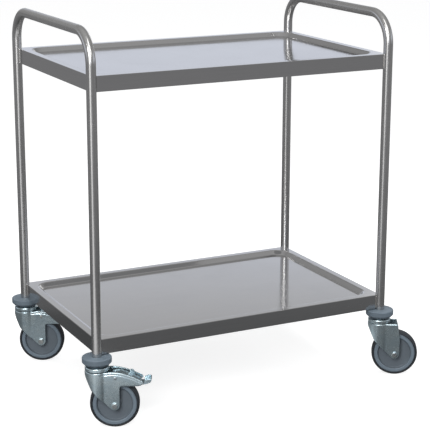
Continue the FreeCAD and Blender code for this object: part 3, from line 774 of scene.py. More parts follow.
def weld_bead(name, sx, sy, along_x, z0, z1, tag):
    """The rippled bead in the corner between a post and the end of a tray's side, on the side's outer face."""
    R, leg_, seg = TUBE_R, 1.7, 8
    a1 = math.asin(leg_ / R)
    rows_, pitch = [], 0.28
    count = int((z1 - z0) / pitch)
    V, F, U = [], [], []
    for j in range(count + 1):
        z = z0 + (z1 - z0) * j / count
        e = min(1.0, (j + 0.6) / 5.0, (count - j + 0.6) / 5.0) ** 0.5
        rip = 0.09 * abs(math.sin(math.pi * z / 1.15)) + 0.04 * math.sin(z * 0.9 + sx + 2 * sy)
        A = np.array([R + leg_ * e * (1 + 0.06 * math.sin(z * 1.3)), 0.0])
        B = np.array([R * math.cos(a1 * e), R * math.sin(a1 * e)])
        ids = []
        for i in range(seg + 1):
            t = i / seg
            q = A * (1 - t) + B * t
            q = q + np.array([0.55, 0.83]) * math.sin(math.pi * t) * (0.18 + rip) * e
            ids.append(len(V))
            V.append((q[0], q[1], z))
            U.append((z, i * 0.25))
        ids.append(len(V))
        V.append((R - 0.25, -0.25, z))
        U.append((z, 3.0))
        rows_.append(ids)
    m = seg + 2
    for a, b in zip(rows_, rows_[1:]):
        for i in range(m):
            k = (i + 1) % m
            F.append((a[i], a[k], b[k], b[i]))
    F.append(tuple(reversed(rows_[0])))
    F.append(tuple(rows_[-1]))
    out = []
    for u, w, z in V:  # u runs from the post along the side, w outwards
        if along_x:
            out.append((sx * (HX - u), sy * (HY + w), z))
        else:
            out.append((sx * (HX + w), sy * (HY - u), z))
    flip = (sx * sy < 0) != (not along_x)
    if not flip:
        F = [tuple(reversed(f)) for f in F]
    return make(name + "_weld_" + tag, out, F, M_WELD, "cart_frame", "satin_stainless", uvs=U, sharp=60, place=MID)


for n_, z_ in DECKS.items():
    for sx_ in (-1, 1):
        for sy_ in (-1, 1):
            where = ("l" if sx_ < 0 else "r") + ("f" if sy_ < 0 else "b")
            weld_bead(n_, sx_, sy_, True, z_ - 36.5, z_ - 2.5, where + "_long")
            weld_bead(n_, sx_, sy_, False, z_ - 36.5, z_ - 2.5, where + "_short")

# ------------------------------------------------------------------ castors


def arc_pts(cx, cz, r, a0, a1, k):
    return [(cx + r * math.cos(math.radians(a0 + (a1 - a0) * i / k)), cz + r * math.sin(math.radians(a0 + (a1 - a0) * i / k))) for i in range(k + 1)]


CUP, LEG, PLATE, ROLL = 31.0, 26.0, 2.5, 2.9
X_JOIN = math.sqrt(CUP ** 2 - LEG ** 2)


def plan_path():
    """Half plan line of the fork's outside, from the front centre to the trailing end, creases eased."""
    a_end = math.degrees(math.acos(X_JOIN / CUP))
    pts = [(CUP * math.cos(math.radians(a)), CUP * math.sin(math.radians(a))) for a in np.linspace(180, a_end, 60)]
    pts += [(X_JOIN + 3 * k, LEG) for k in range(1, 36)]
    P = np.array(pts)
    # ease the crease over a few millimetres
    s = np.concatenate([[0], np.cumsum(np.linalg.norm(np.diff(P, axis=0), axis=1))])
    fine = np.linspace(0, s[-1], 700)
    Q = np.stack([np.interp(fine, s, P[:, 0]), np.interp(fine, s, P[:, 1])], 1)
    step = fine[1] - fine[0]
    w = int(2.6 / step)
    ker = np.hanning(2 * w + 1)
    ker /= ker.sum()
    pad_f = np.stack([Q[1:w + 1][::-1, 0], -Q[1:w + 1][::-1, 1]], 1)
    pad_b = Q[-1] + (np.arange(1, w + 1)[:, None] * (Q[-1] - Q[-2]))
    E = np.concatenate([pad_f, Q, pad_b])
    R = np.stack([np.convolve(E[:, k], ker, "valid") for k in (0, 1)], 1)
    s2 = np.concatenate([[0], np.cumsum(np.linalg.norm(np.diff(R, axis=0), axis=1))])
    return s2, R


PATH_S, PATH_P = plan_path()
PATH_T = np.gradient(PATH_P, PATH_S, axis=0)
PATH_T /= np.linalg.norm(PATH_T, axis=1, keepdims=True)


def s_of_x(x):
    return np.interp(x, PATH_P[:, 0], PATH_S)


HOOD_TOP = spline([(24.0, 149.0), (30.0, 150.2), (36.0, 150.5), (46.0, 149.9), (57.0, 148.3), (68.0, 145.6), (79.0, 141.9), (90.0, 137.6), (101.0, 132.3), (109.5, 127.6), (114.2, 124.0), (116.5, 121.0)], 14)


def fork_wrap(brake):
    if brake:
        tx = np.array([-40.0, 20.0] + [p[0] for p in HOOD_TOP])
        tz = np.array([149.0, 149.0] + [p[1] for p in HOOD_TOP])
        end = 112.0
    else:
        tx, tz, end = np.array([-40.0, 130.0]), np.array([149.0, 149.0]), 1e3

    def roll(x):
        return np.clip((end - x) / 10.0, 0.02, 1.0) * ROLL

    def top(s):
        x = np.interp(np.abs(s), PATH_S, PATH_P[:, 0])
        return np.interp(x, tx, tz), roll(x)

    def wrap(u, v):
        s = np.abs(u)
        sg = np.where(u < 0, 1.0, -1.0)
        px = np.interp(s, PATH_S, PATH_P[:, 0])
        py = np.interp(s, PATH_S, PATH_P[:, 1])
        tx_ = np.interp(s, PATH_S, PATH_T[:, 0])
        ty_ = np.interp(s, PATH_S, PATH_T[:, 1])
        ln = np.hypot(tx_, ty_)
        tx_, ty_ = tx_ / ln, ty_ / ln
        nx, ny = -ty_, tx_           # outwards on the +y side
        zt, r = top(s)
        over = v - (zt - r)
        ang = np.clip(over / r, 0, math.pi / 2)
        flat = np.maximum(over - r * math.pi / 2, 0)
        ins = np.where(over > 0, r * (1 - np.cos(ang)) + flat, 0)
        if brake:  # the pressed step that follows the hood's upper edge
            k = np.clip((v - (zt - 8.2)) / 1.6, 0, 1)
            ins = ins + 0.75 * k * k * (3 - 2 * k) * np.clip((px - 4.0) / 10.0, 0, 1) * np.clip((112.0 - px) / 8.0, 0, 1)
        z = np.where(over > 0, zt - r + r * np.sin(ang), v)
        x = px - nx * ins
        y = (py - ny * ins) * sg
        return np.stack([x, y, z], 1)

    return wrap, top


def fork_outline(brake, top):
    """Unrolled outline of one half, from the front centre line down and round to the top edge."""
    low = [(-CUP + 0.01, 139.5), (-14.5, 104.0), (0.0, 88.0), (16.8, 71.6)]
    leg = arc_pts(43.5, 62.5, 12.5, -135, 0, 12)
    if brake:
        side = low + leg + [(56.4, 108.5), (57.6, 112.4), (61.5, 113.8), (103.0, 113.8), (109.0, 115.3), (113.6, 118.2), (115.2, 121.2)]
    else:
        side = low + leg + [(57.2, 100.0), (54.0, 128.0), (49.8, 143.5)]
    rads = [0, 6, 20, 8] + [0] * 13 + ([4, 3, 6, 4, 3, 2, 0] if brake else [30, 30, 0])
    side = fillet(side, rads, 8, closed=False)
    side = resample(side, 1.6, closed=False)
    half = [(float(s_of_x(x)), z) for x, z in side]
    half[0] = (0.0, 139.5)
    # the rolled top edge, from the trailing end back to the front
    s_end = half[-1][0]
    ss = np.linspace(s_end, 0.0, 70)
    zt, r = top(ss)
    flange = np.where(r > ROLL * 0.97, 2.6, 0.0)
    xs = np.interp(ss, PATH_S, PATH_P[:, 0])
    flange = np.where(xs < 24, 4.2, np.where(r > ROLL * 0.97, np.where(xs > 30, 2.3, 2.3 + (30 - xs) / 6 * 1.9), 0.0))
    if brake:
        roll_len = r * math.pi / 2 * np.clip((115.2 - xs) / 3.0, 0, 1)
    else:
        roll_len = r * math.pi / 2 * np.ones_like(xs)
        flange = np.where(xs > s_end, 0, flange)
    vt = zt - r + roll_len + flange
    if not brake:  # the flange's trailing corner, rounded
        k = np.clip((xs[0] - xs) / 5.0, 0, 1)
        vt = 143.5 + (vt - 143.5) * np.sqrt(np.clip(1 - (1 - k) ** 2, 0, 1))
    topline = [(float(s), float(v)) for s, v in zip(ss, vt)]
    half = half + topline[1:]
    mirror = [(-s, v) for s, v in reversed(half[1:-1])]
    return half + mirror


def annulus(r0, r1, z0, z1, rad=0.4, seg=72):
    return lathe(fillet([(r0, z0), (r1, z0), (r1, z1), (r0, z1)], rad, 4), seg)


def dome(r, h, z0, seg=32, k=6):
    """A low rivet head standing on z0."""
    prof = [(0.0, z0 + h)] + [(r * math.sin(math.pi / 2 * i / k), z0 + h * math.cos(math.pi / 2 * i / k)) for i in range(1, k)] + [(r, z0 + h * 0.18), (r, z0), (0.0, z0)]
    return lathe(prof, seg, closed=False)


def hex_head(af, z0, z1, chamfer=1.0, seg=10, bore=0.0):
    """A hexagon with its corners turned down on the top face."""
    n = 6 * seg
    R = af / 2 / math.cos(math.pi / 6)

    def ring(rmax, z, cap=None):
        pts = []
        for i in range(n):
            a = 2 * math.pi * i / n
            m = (a % (math.pi / 3)) - math.pi / 6
            r = af / 2 / math.cos(m)
            r = min(r, rmax)
            pts.append((r * math.cos(a), r * math.sin(a), z if cap is None else cap(r)))
        return pts

    V, F = [], []
    levels = [ring(R - 0.25, z0), ring(R, z0 + 0.25)]
    # turned chamfer: a cone that meets the flats in the usual curved lines
    cone = lambda r: z1 - max(0.0, (r - af / 2 * 0.93)) * math.tan(math.radians(30))
    levels.append(ring(R, 0, cone))
    levels.append(ring(af / 2 * 0.93, z1))
    levels.append(ring(af / 2 * 0.6, z1))
    ids = []
    for lv in levels:
        ids.append(list(range(len(V), len(V) + n)))
        V += lv
    for a, b in zip(ids, ids[1:]):
        for i in range(n):
            j = (i + 1) % n
            F.append((a[i], a[j], b[j], b[i]))
    F.append(tuple(ids[-1]))
    F.append(tuple(reversed(ids[0])))
    return V, F, [(v[0], v[1]) for v in V]


ACROSS = mat4(x=(1, 0, 0), y=(0, 0, 1), z=(0, -1, 0))  # local z -> -y (towards the near cheek)


def across(x, z, flip=False):
    """Puts a part turned about z on the line across the castor at (x, z). flip turns it to the far side."""
    if flip:
        return mat4(x=(1, 0, 0), y=(0, 0, -1), z=(0, 1, 0), o=(x, 0, z))
    return mat4(x=(1, 0, 0), y=(0, 0, 1), z=(0, -1, 0), o=(x, 0, z))


def build_castor(c):
    brake = c in BRAKED
    fix, turn = castor_place(c, False), castor_place(c, True)
    fork_body, wheel_body = c + "_castor", c + "_wheel"

    # bumper disc round the post's foot
    R = 37.4
    prof = fillet([(6.05, 166.0), (R - 5, 166.0), (R, 171.2), (R, 183.2), (R - 1.6, 184.2), (16.2, 185.0), (15.4, 184.6), (12.9, 184.9), (12.55, 184.6), (12.55, 172.0), (6.05, 172.0)],
                  [0.4, 1.4, 2.2, 2.2, 1.4, 0.5, 0.4, 0.3, 0.1, 0.2, 0.2], 6)
    v, f, u = lathe(prof, 128)
    ob = make(c + "_bumper_disc", v, f, M_BUMP, "cart_frame", "grey_bumper", uvs=u, place=fix, sharp=60)
    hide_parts(c + "_bumper")

    # swivel head
    prof = [(0.0, 205.0), (5.2, 205.0), (6.0, 204.2), (6.0, 166.0), (16.0, 166.0), (16.0, 161.0), (16.8, 160.2), (27.8, 160.2), (29.6, 159.6), (30.5, 157.8), (30.5, 151.6), (30.1, 150.5), (29.4, 150.3),
            (28.2, 150.5), (28.0, 151.2), (28.0, 156.4), (27.4, 157.0), (10.6, 157.0), (10.0, 156.4), (10.0, 145.9), (10.2, 145.7), (13.4, 145.7), (14.0, 145.1), (14.0, 142.3), (13.2, 141.7), (7.0, 141.7), (6.4, 142.6), (0.0, 142.8)]
    prof = [prof[0]] + fillet(prof, 0.5, 3, closed=False)[1:]
    v, f, u = lathe(prof, 112, closed=False)
    ob = make(c + "_swivel_cup", v, f, M_ZINC, "cart_frame", "zinc_steel", uvs=u, place=fix, sharp=50)
    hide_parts(c + "_swivel_head")

    # fork: one pressed sheet, wrapped round the cup and rolled inwards along its top
    wrap, top = fork_wrap(brake)
    outline = fork_outline(brake, top)
    s_max = float(s_of_x(114.0 if brake else 52.0))
    s_row = np.arange(-s_max, s_max, 1.4)
    zt_row, r_row = top(s_row)
    rows = []
    for k in range(-2, 8):
        v_row = zt_row - r_row + r_row * math.pi / 2 * k / 7
        rows += [(a, b) for a, b, r_ in zip(s_row, v_row, r_row) if r_ > 0.45 * ROLL]
    if brake:
        for d_ in (9.0, 8.3, 7.9, 7.5, 7.1, 6.7, 6.2, 5.4):
            rows += [(a, b - d_) for a, b, r_ in zip(s_row, zt_row, r_row) if r_ > 0.8 * ROLL and abs(a) > float(s_of_x(0.0))]
    shell = plate([outline], PLATE, wrap, edge=0.7, step=1.4, grid=2.4, rows=rows)
    crown = lathe(fillet([(10.1, 146.3), (25.4, 146.3), (25.4, 148.85), (10.1, 148.85)], 0.3, 3), 96)
    parts = [shell, crown]
    v, f, u = join(*parts)
    ob = make(c + "_fork_pressing", v, f, M_ZINC, fork_body, "zinc_steel", uvs=u, place=turn, sharp=40)
    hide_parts(c + "_fork")

    # wheel: hub, dished disc, raised ring
    half = [(6.05, 23.1), (13.0, 23.1), (14.6, 9.6), (17.4, 7.0), (43.4, 7.0), (45.4, 13.9), (47.0, 15.2), (53.6, 15.2), (55.6, 13.3), (55.6, 11.0), (50.0, 11.0)]
    rads = [0.3, 1.0, 1.5, 3.0, 1.6, 0.8, 1.0, 1.4, 1.2, 0.2, 0.2]
    prof = half + [(r, -z) for r, z in reversed(half)]
    v, f, u = lathe(fillet(prof, rads + rads[::-1], 5), 144)
    wheel = (v, f, u)
    ids = [1 if 45.4 < sum(math.hypot(v[i][0], v[i][1]) for i in g) / len(g) else 0 for g in f]
    ob = make(c + "_wheel_disc", *moved(wheel, across(43.5, 62.5))[:2], M_WHEEL, wheel_body, "grey_wheel", uvs=u, place=turn, sharp=60, mats=[M_WHEEL, M_RING], mat_ids=ids)
    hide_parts(c + "_wheel_centre")

    # tyre
    half = [(50.05, 10.95), (55.7, 10.95), (55.7, 13.6), (57.4, 16.0)]
    for k in (5, 4, 3, 2, 1):
        a = k / 6.0
        half.append((57.4 + 5.1 * (1 - a ** 1.9), 8.0 + 8.0 * a ** 0.92))
    half += [(62.5, 8.0), (62.5, 0.45), (62.32, 0.0)]
    prof = half + [(r, -z) for r, z in reversed(half[:-1])]
    rr_ = [0.2, 0.2, 0.8, 1.2] + [0.8] * 5 + [3.0, 0.1, 0]
    v, f, u = lathe(fillet(prof, rr_ + rr_[:-1][::-1], 4), 160)
    ob = make(c + "_tyre_ring", *moved((v, f, u), across(43.5, 62.5))[:2], M_TYRE, wheel_body, "dark_tyre", uvs=u, place=turn, sharp=50)
    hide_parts(c + "_tyre")

    # axle bolt, nut
    head = moved(hex_head(13.0, 26.05, 31.3), across(43.5, 62.5))
    shank = moved(lathe([(0.0, 26.3)] + [(4.0, 26.3), (4.0, -34.6), (3.5, -35.0), (0.0, -35.0)], 40, closed=False), across(43.5, 62.5))
    v, f, u = join(head, shank)
    ob = make(c + "_bolt", v, f, M_BOLT, fork_body, "zinc_steel", uvs=u, place=turn, sharp=30)
    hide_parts(c + "_axle_bolt")
    nut = moved(hex_head(13.0, 26.05, 31.0), across(43.5, 62.5, True))
    collar = moved(lathe(fillet([(4.1, 30.6), (5.6, 30.6), (5.6, 32.4), (4.1, 32.4)], 0.5, 3), 48), across(43.5, 62.5, True))
    v, f, u = join(nut, collar)
    ob = make(c + "_nut", v, f, M_BOLT, fork_body, "zinc_steel", uvs=u, place=turn, sharp=30)
    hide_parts(c + "_axle_nut")

    if brake:
        build_brake(c, turn)


def build_brake(c, turn):
    fork_body, pedal_body = c + "_castor", c + "_pedal"
    # pedal: one strip following the side line, ears down to the pin, lip at the end
    line = spline([(37.2, 141.4), (43.5, 143.6), (50.0, 144.4), (62.0, 143.1), (76.0, 138.4), (90.0, 131.9), (103.0, 124.5), (110.2, 119.0), (114.0, 117.0), (118.0, 117.0), (125.0, 119.0), (131.0, 121.5), (133.3, 125.0), (134.5, 129.2)], 6)
    P = np.array(line)
    S = np.concatenate([[0], np.cumsum(np.linalg.norm(np.diff(P, axis=0), axis=1))])
    T = np.gradient(P, S, axis=0)
    T /= np.linalg.norm(T, axis=1, keepdims=True)
    total = S[-1]

    def wrap(u, v):
        # sides of the strip turn down a little, so that it is a shallow channel
        x = np.interp(u, S, P[:, 0])
        z = np.interp(u, S, P[:, 1])
        tx, tz = np.interp(u, S, T[:, 0]), np.interp(u, S, T[:, 1])
        ln = np.hypot(tx, tz)
        nx, nz = -tz / ln, tx / ln
        drop = np.where(np.abs(v) > 13.5, (np.abs(v) - 13.5) ** 2 / 16.0, 0.0) * np.clip((total - u) / 26.0, 0.0, 1.0)
        return np.stack([x - nx * drop, v, z - nz * drop], 1)

    w = 16.7
    out = fillet([(0.4, -w), (total - 0.3, -w), (total - 0.3, w), (0.4, w)], [2.5, 4.5, 4.5, 2.5], 8)
    hole = fillet([(total - 31.0, -7.5), (total - 24.5, -7.5), (total - 24.5, 7.5), (total - 31.0, 7.5)], 1.6, 4)
    strip = plate([out], 2.4, wrap, edge=0.8, step=1.8, grid=2.4)
    ribs = []
    for k in range(3):  # tread ribs pressed on the lip
        s0 = total - 13.0 - 4.2 * k
        rib = plate([fillet([(s0 - 0.9, -11.0), (s0 + 0.9, -11.0), (s0 + 0.9, 11.0), (s0 - 0.9, 11.0)], 0.8, 4)], 1.0,
                    lambda u, v: wrap(u, v) + np.stack([-np.interp(u, S, T[:, 1]) * 0.45, np.zeros_like(u), np.interp(u, S, T[:, 0]) * 0.45], 1), edge=0.45, step=1.5, grid=1.4)
        ribs.append(rib)
    ear_pts = fillet([(38.4, 141.4), (37.9, 133.2), (41.5, 129.4), (49.5, 129.4), (54.5, 134.0), (66.0, 136.7), (65.6, 140.4), (60.5, 141.6), (50.0, 142.9)], [1, 3, 3, 3, 4, 1, 1, 2, 2], 5)
    ears = []
    for side in (1, -1):
        y0 = 17.5 if side > 0 else -15.0
        ears.append(plate([ear_pts], 2.5, lambda u, v, y0=y0: np.stack([u, np.full_like(u, y0), v], 1)[:, [0, 1, 2]], edge=0.5, step=1.6, grid=2.2))
    fixed = []
    for e, y0 in zip(ears, (17.5, -15.0)):
        v, f, u = e
        v = np.array(v)
        # plate() grows against its normal; put it exactly between its two faces
        v[:, 1] += (y0 - 1.25) - (v[:, 1].min() + v[:, 1].max()) / 2
        fixed.append((v, f, u))
    for side in (1, -1):
        lip = fillet([(117.4, 117.4), (124.5, 118.9), (131.2, 121.5), (133.6, 124.9), (134.6, 129.0), (126.0, 128.4), (119.5, 125.2)], [1, 2, 2, 1, 1.2, 3, 2], 4)
        lv, lf, lu = plate([lip], 1.8, lambda u, v: np.stack([u, np.full_like(u, 16.0), v], 1), edge=0.5, step=1.2, grid=1.6)
        lv = np.array(lv)
        lv[:, 1] += side * 15.8 - (lv[:, 1].min() + lv[:, 1].max()) / 2
        fixed.append((lv, lf, lu))
    tab_pts = fillet([(80.4, 135.2), (83.2, 144.2), (88.4, 145.0), (92.8, 139.8), (93.3, 130.4)], [0.5, 2.5, 2.5, 2.0, 0.5], 5)
    v, f, u = plate([tab_pts], 2.5, lambda u, v: np.stack([u, np.full_like(u, 17.5), v], 1), edge=0.6, step=1.4, grid=1.8)
    v = np.array(v)
    v[:, 1] += 16.2 - (v[:, 1].min() + v[:, 1].max()) / 2
    v, f, u = join(strip, *ribs, *fixed, (v, f, u))
    ob = make(c + "_pedal_pressing", v, f, M_ZINC, pedal_body, "zinc_steel", uvs=u, place=turn, sharp=40)
    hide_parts(c + "_brake_pedal")
    # rubber shoe under the strip
    shoe = fillet([(68.2, 126.0), (77.7, 122.4), (87.6, 116.8), (88.2, 129.2), (75.1, 135.4), (67.2, 138.0)], [2, 6, 2, 1, 2, 1], 5)
    v, f, u = plate([shoe], 24.0, lambda u, v: np.stack([u, np.full_like(u, -12.0), v], 1), edge=1.2, step=1.6, grid=2.4)
    v = np.array(v)
    v[:, 1] += 0.0 - (v[:, 1].min() + v[:, 1].max()) / 2
    ob = make(c + "_shoe_block", v, f, M_SHOE, pedal_body, "black_rubber", uvs=u, place=turn, sharp=45)
    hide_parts(c + "_brake_shoe")
    # pivot pin with two low riveted heads
    prof = [(0.0, 27.0), (2.4, 26.95), (3.9, 26.5), (4.2, 26.05), (3.0, 26.0), (3.0, -26.0), (4.2, -26.05), (3.9, -26.5), (2.4, -26.95), (0.0, -27.0)]
    v, f, u = moved(lathe(prof, 40, closed=False), across(45.5, 135.0))
    ob = make(c + "_pivot_rivet", v, f, M_BOLT, fork_body, "zinc_steel", uvs=u, place=turn, sharp=45)
    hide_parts(c + "_brake_pin")


for c_ in CASTORS:
    build_castor(c_)

# ------------------------------------------------------------------ the CAD nodes that stay, in their finish

FINISH = {"deck_rib": M_DECK, "swivel_balls": M_BALL, "axle_sleeve": M_BOLT, "brake_spring": M_BALL, "stem_plug": M_PLUG}
for n_, o_ in NODES.items():
    if o_.hide_render:
        continue
    for key, m_ in FINISH.items():
        if key in n_:
            if not o_.material_slots:
                o_.data.materials.append(m_)
            for s_ in o_.material_slots:
                s_.material = m_

# ------------------------------------------------------------------ stage, lights, camera


def stage_mesh(name, verts, faces, mat):
    me = bpy.data.meshes.new(name)
    me.from_pydata(verts, [], faces)
    me.materials.append(mat)
    ob = bpy.data.objects.new(name, me)
    bpy.context.scene.collection.objects.link(ob)
    return ob


def floor_mat():
    n = Net("floor_paper")
    ob = n.coords("Object")
    tex = n.noise(ob, 90.0, 3.0, 0.5)
    col = n.mix(n.mapr(tex, 0, 1), (0.40, 0.40, 0.40), (0.42, 0.42, 0.42))
    return n.out(col, 0.9, n.bump(tex, 0.02, 0.0005), Specular_IOR_Level=0.1, Emission_Color=(1, 1, 1, 1), Emission_Strength=0.80)


ring_n, ring_r = 96, 60.0
fv = [(0.0, 0.0, 0.0)] + [(ring_r * math.cos(2 * math.pi * i / ring_n), ring_r * math.sin(2 * math.pi * i / ring_n), 0.0) for i in range(ring_n)]
floor = stage_mesh("floor", fv, [(0, i + 1, (i + 1) % ring_n + 1) for i in range(ring_n)], floor_mat())
floor.visible_glossy = floor.visible_diffuse = False

def polar(n, x, y):
    """Angle (0 to 1 from -180 to 180 degrees) and distance in metres round a point of the floor."""
    tc = n.node("ShaderNodeTexCoord")
    sub = n.node("ShaderNodeVectorMath", operation="SUBTRACT")
    sub.inputs[1].default_value = (x, y, 0.0)
    n.link(tc.outputs["Object"], sub.inputs[0])
    sep = n.node("ShaderNodeSeparateXYZ")
    n.link(sub.outputs[0], sep.inputs[0])
    ln = n.node("ShaderNodeVectorMath", operation="LENGTH")
    n.link(sub.outputs[0], ln.inputs[0])
    ang = n.math("ARCTAN2", sep.outputs["Y"], sep.outputs["X"])
    return n.mapr(ang, 0.0, 1.0, -math.pi, math.pi), ln.outputs["Value"]


# painted reflections for the castors' sheet metal: painted highlights and painted shade on the disc, as (angle, grey)
# round each swivel axis
GLINTS = {
    "front_left": [(-180, 0.07), (-165, 0.10), (-150, 0.22), (-136, 0.46), (-124, 0.24), (-112, 0.19), (-84, 0.13), (-66, 0.04), (-40, 0.02), (0, 0.07), (60, 0.10), (180, 0.08)],
    "front_right": [(-180, 0.60), (-160, 0.42), (-148, 0.16), (-130, 0.11), (-110, 0.12), (-80, 0.09), (-62, 0.05), (-40, 0.07), (0, 0.12), (110, 0.16), (140, 0.45), (180, 0.70)],
    "back_left": [(-180, 0.06), (-160, 0.10), (-140, 0.20), (-120, 0.22), (-80, 0.27), (-50, 0.32), (-30, 0.12), (0, 0.10), (60, 0.10), (180, 0.08)],
    "back_right": [(-180, 0.16), (-150, 0.30), (-130, 0.40), (-100, 0.34), (-60, 0.12), (0, 0.20), (40, 0.50), (70, 0.60), (110, 0.22), (180, 0.14)],
}


def painted_floor_reflection():
    """A glowing disc that only reflections see, painted with a reflected floor: painted shadow of the cart close to it,
    a painted shade wedge on one side, painted highlight streaks along the posts and painted glints round the castors.
    The floor itself stays pale.
    """
    n = Net("painted_reflection_glow")
    n.t.nodes.remove(n.p)
    ang, dist = polar(n, 0.0, 0.0)
    # painted shadow: the disc glows darker close to the cart, as if the cart shaded the floor
    col = n.ramp(n.mapr(dist, 0, 1, 0.0, 6.0), [(0.10, (0.115, 0.118, 0.120)), (0.20, (0.15, 0.152, 0.155)), (0.40, (0.205, 0.206, 0.212)), (0.60, (0.255, 0.256, 0.262)), (1.0, (0.24, 0.24, 0.245))])
    # painted shade: a dark wedge on one side of the cart, close to it
    side_shade_wedge = n.ramp(ang, [(0.72, 0.0), (0.79, 1.0), (0.93, 1.0), (0.99, 0.0)])
    near = n.ramp(dist, [(0.0, 1.0), (0.75, 1.0), (1.0, 0.0)])
    painted_shade_mask = n.math("MULTIPLY", side_shade_wedge, near)
    col = n.mix(painted_shade_mask, col, (0.045, 0.047, 0.048))
    for c_, mid_, wide_ in (("back_left", -132.0, 0.036), ("back_right", -143.0, 0.034), ("front_right", -149.0, 0.028), ("front_left", -135.0, 0.038)):
        # the strip of light along each post, carried down to the floor
        q = swivel_point(c_) * MM
        a_, d_ = polar(n, q.x - CX * MM, q.y - CY * MM)
        f_ = (mid_ + 180.0) / 360.0
        streak = n.ramp(a_, [(f_ - wide_, 0.0), (f_ - 0.012, 1.0), (f_ + 0.012, 1.0), (f_ + wide_, 0.0)], "EASE")
        reach = n.ramp(n.mapr(d_, 0, 1, 0.0, 4.0), [(0.08, 0.0), (0.12, 1.0), (0.84, 1.0), (0.92, 0.0)])
        col = n.mix(n.math("MULTIPLY", streak, reach), col, (0.82, 0.82, 0.83))
    # painted glints and painted shade round each castor, within about half a metre of its swivel axis
    for c_, stops_ in GLINTS.items():
        q = swivel_point(c_) * MM
        a_, d_ = polar(n, q.x - CX * MM, q.y - CY * MM)
        tone_ = n.ramp(a_, [((g[0] + 180.0) / 360.0, (g[1], g[1] * 1.03, g[1] * 1.05)) for g in stops_])
        col = n.mix(n.ramp(d_, [(0.0, 1.0), (0.40, 1.0), (0.58, 0.0)], "EASE"), col, tone_)
    em = n.node("ShaderNodeEmission")
    n.link(col, em.inputs["Color"])
    n.link(em.outputs[0], n.t.nodes["Material Output"].inputs["Surface"])
    k = 64
    vs = [(0.0, 0.0, 0.0)] + [(14 * math.cos(2 * math.pi * i / k), 14 * math.sin(2 * math.pi * i / k), 0.0) for i in range(k)]
    ob = stage_mesh("painted_reflection_disc", vs, [(0, i + 1, (i + 1) % k + 1) for i in range(k)], n.m)
    ob.location = (CX * MM, CY * MM, -0.03)
    ob.visible_camera = ob.visible_diffuse = ob.visible_shadow = ob.visible_transmission = False
    return ob


def under_card():
    """Soft light that only reflections see, just under the upper tray, in place of endless tray-to-tray bounces."""
    n = Net("under_glow")
    n.t.nodes.remove(n.p)
    tex = n.noise(n.coords("Object"), 2.0, 2.0, 0.5)
    em = n.node("ShaderNodeEmission")
    n.link(n.mix(n.mapr(tex, 0, 1, 0.3, 0.7), (0.235, 0.237, 0.240), (0.270, 0.272, 0.276)), em.inputs["Color"])
    n.link(em.outputs[0], n.t.nodes["Material Output"].inputs["Surface"])
    hx, hy = (HX - 6) * MM, (HY - 6) * MM
    ob = stage_mesh("under_upper_tray", [(-hx, -hy, 0), (hx, -hy, 0), (hx, hy, 0), (-hx, hy, 0)], [(3, 2, 1, 0)], n.m)
    ob.location = (CX * MM, CY * MM, (DECKS["upper_shelf"] - 41.0) * MM)
    ob.visible_camera = ob.visible_diffuse = ob.visible_shadow = ob.visible_transmission = False
    return ob


under_card()
# the glowing disc of painted reflections: painted shadow, painted shade and painted highlights for the steel
painted_floor_reflection()

world = bpy.data.worlds.new("studio")
bpy.context.scene.world = world
world.use_nodes = True
wt = world.node_tree
wt.nodes.clear()
w_out = wt.nodes.new("ShaderNodeOutputWorld")
w_bg = wt.nodes.new("ShaderNodeBackground")
w_tc = wt.nodes.new("ShaderNodeTexCoord")
w_sep = wt.nodes.new("ShaderNodeSeparateXYZ")
w_ramp = wt.nodes.new("ShaderNodeValToRGB")
w_map = wt.nodes.new("ShaderNodeMapRange")
w_map.inputs["From Min"].default_value = -1.0
w_map.inputs["From Max"].default_value = 1.0
wt.links.new(w_tc.outputs["Generated"], w_sep.inputs[0])
wt.links.new(w_sep.outputs["Z"], w_map.inputs["Value"])
wt.links.new(w_map.outputs["Result"], w_ramp.inputs["Fac"])
stops = [(0.0, 0.16), (0.36, 0.19), (0.47, 0.21), (0.505, 0.40), (0.55, 0.80), (0.636, 0.80), (0.66, 0.58), (0.685, 0.42), (0.76, 0.30), (0.88, 0.40), (1.0, 0.48)]
el = w_ramp.color_ramp.elements
while len(el) < len(stops):
    el.new(0.5)
for e_, (p_, g_) in zip(el, stops):
    e_.position = p_
    tint_ = (0.93, 0.975, 1.09) if g_ > 0.7 else (1.0, 1.0, 1.0)
    e_.color = (g_ * tint_[0], g_ * tint_[1], g_ * tint_[2], 1)
# the bright band round the horizon is made of four soft boxes with dimmer gaps between them
flat = wt.nodes.new("ShaderNodeVectorMath")
flat.operation = "MULTIPLY"
flat.inputs[1].default_value = (1.0, 1.0, 0.0)
unit = wt.nodes.new("ShaderNodeVectorMath")
unit.operation = "NORMALIZE"
wt.links.new(w_tc.outputs["Generated"], flat.inputs[0])
wt.links.new(flat.outputs[0], unit.inputs[0])
lobes = []
for deg_ in (64.0, 154.0):
    dot = wt.nodes.new("ShaderNodeVectorMath")
    dot.operation = "DOT_PRODUCT"
    dot.inputs[1].default_value = (math.cos(math.radians(deg_)), math.sin(math.radians(deg_)), 0.0)
    wt.links.new(unit.outputs[0], dot.inputs[0])
    ab = wt.nodes.new("ShaderNodeMath")
    ab.operation = "ABSOLUTE"
    wt.links.new(dot.outputs["Value"], ab.inputs[0])
    lobes.append(ab)
big_ = wt.nodes.new("ShaderNodeMath")
big_.operation = "MAXIMUM"
wt.links.new(lobes[0].outputs[0], big_.inputs[0])
wt.links.new(lobes[1].outputs[0], big_.inputs[1])
lobe = wt.nodes.new("ShaderNodeMapRange")
lobe.interpolation_type = "SMOOTHSTEP"
lobe.inputs["From Min"].default_value = 0.86
lobe.inputs["From Max"].default_value = 0.955
wt.links.new(big_.outputs[0], lobe.inputs["Value"])
low_band = wt.nodes.new("ShaderNodeValToRGB")
el2 = low_band.color_ramp.elements
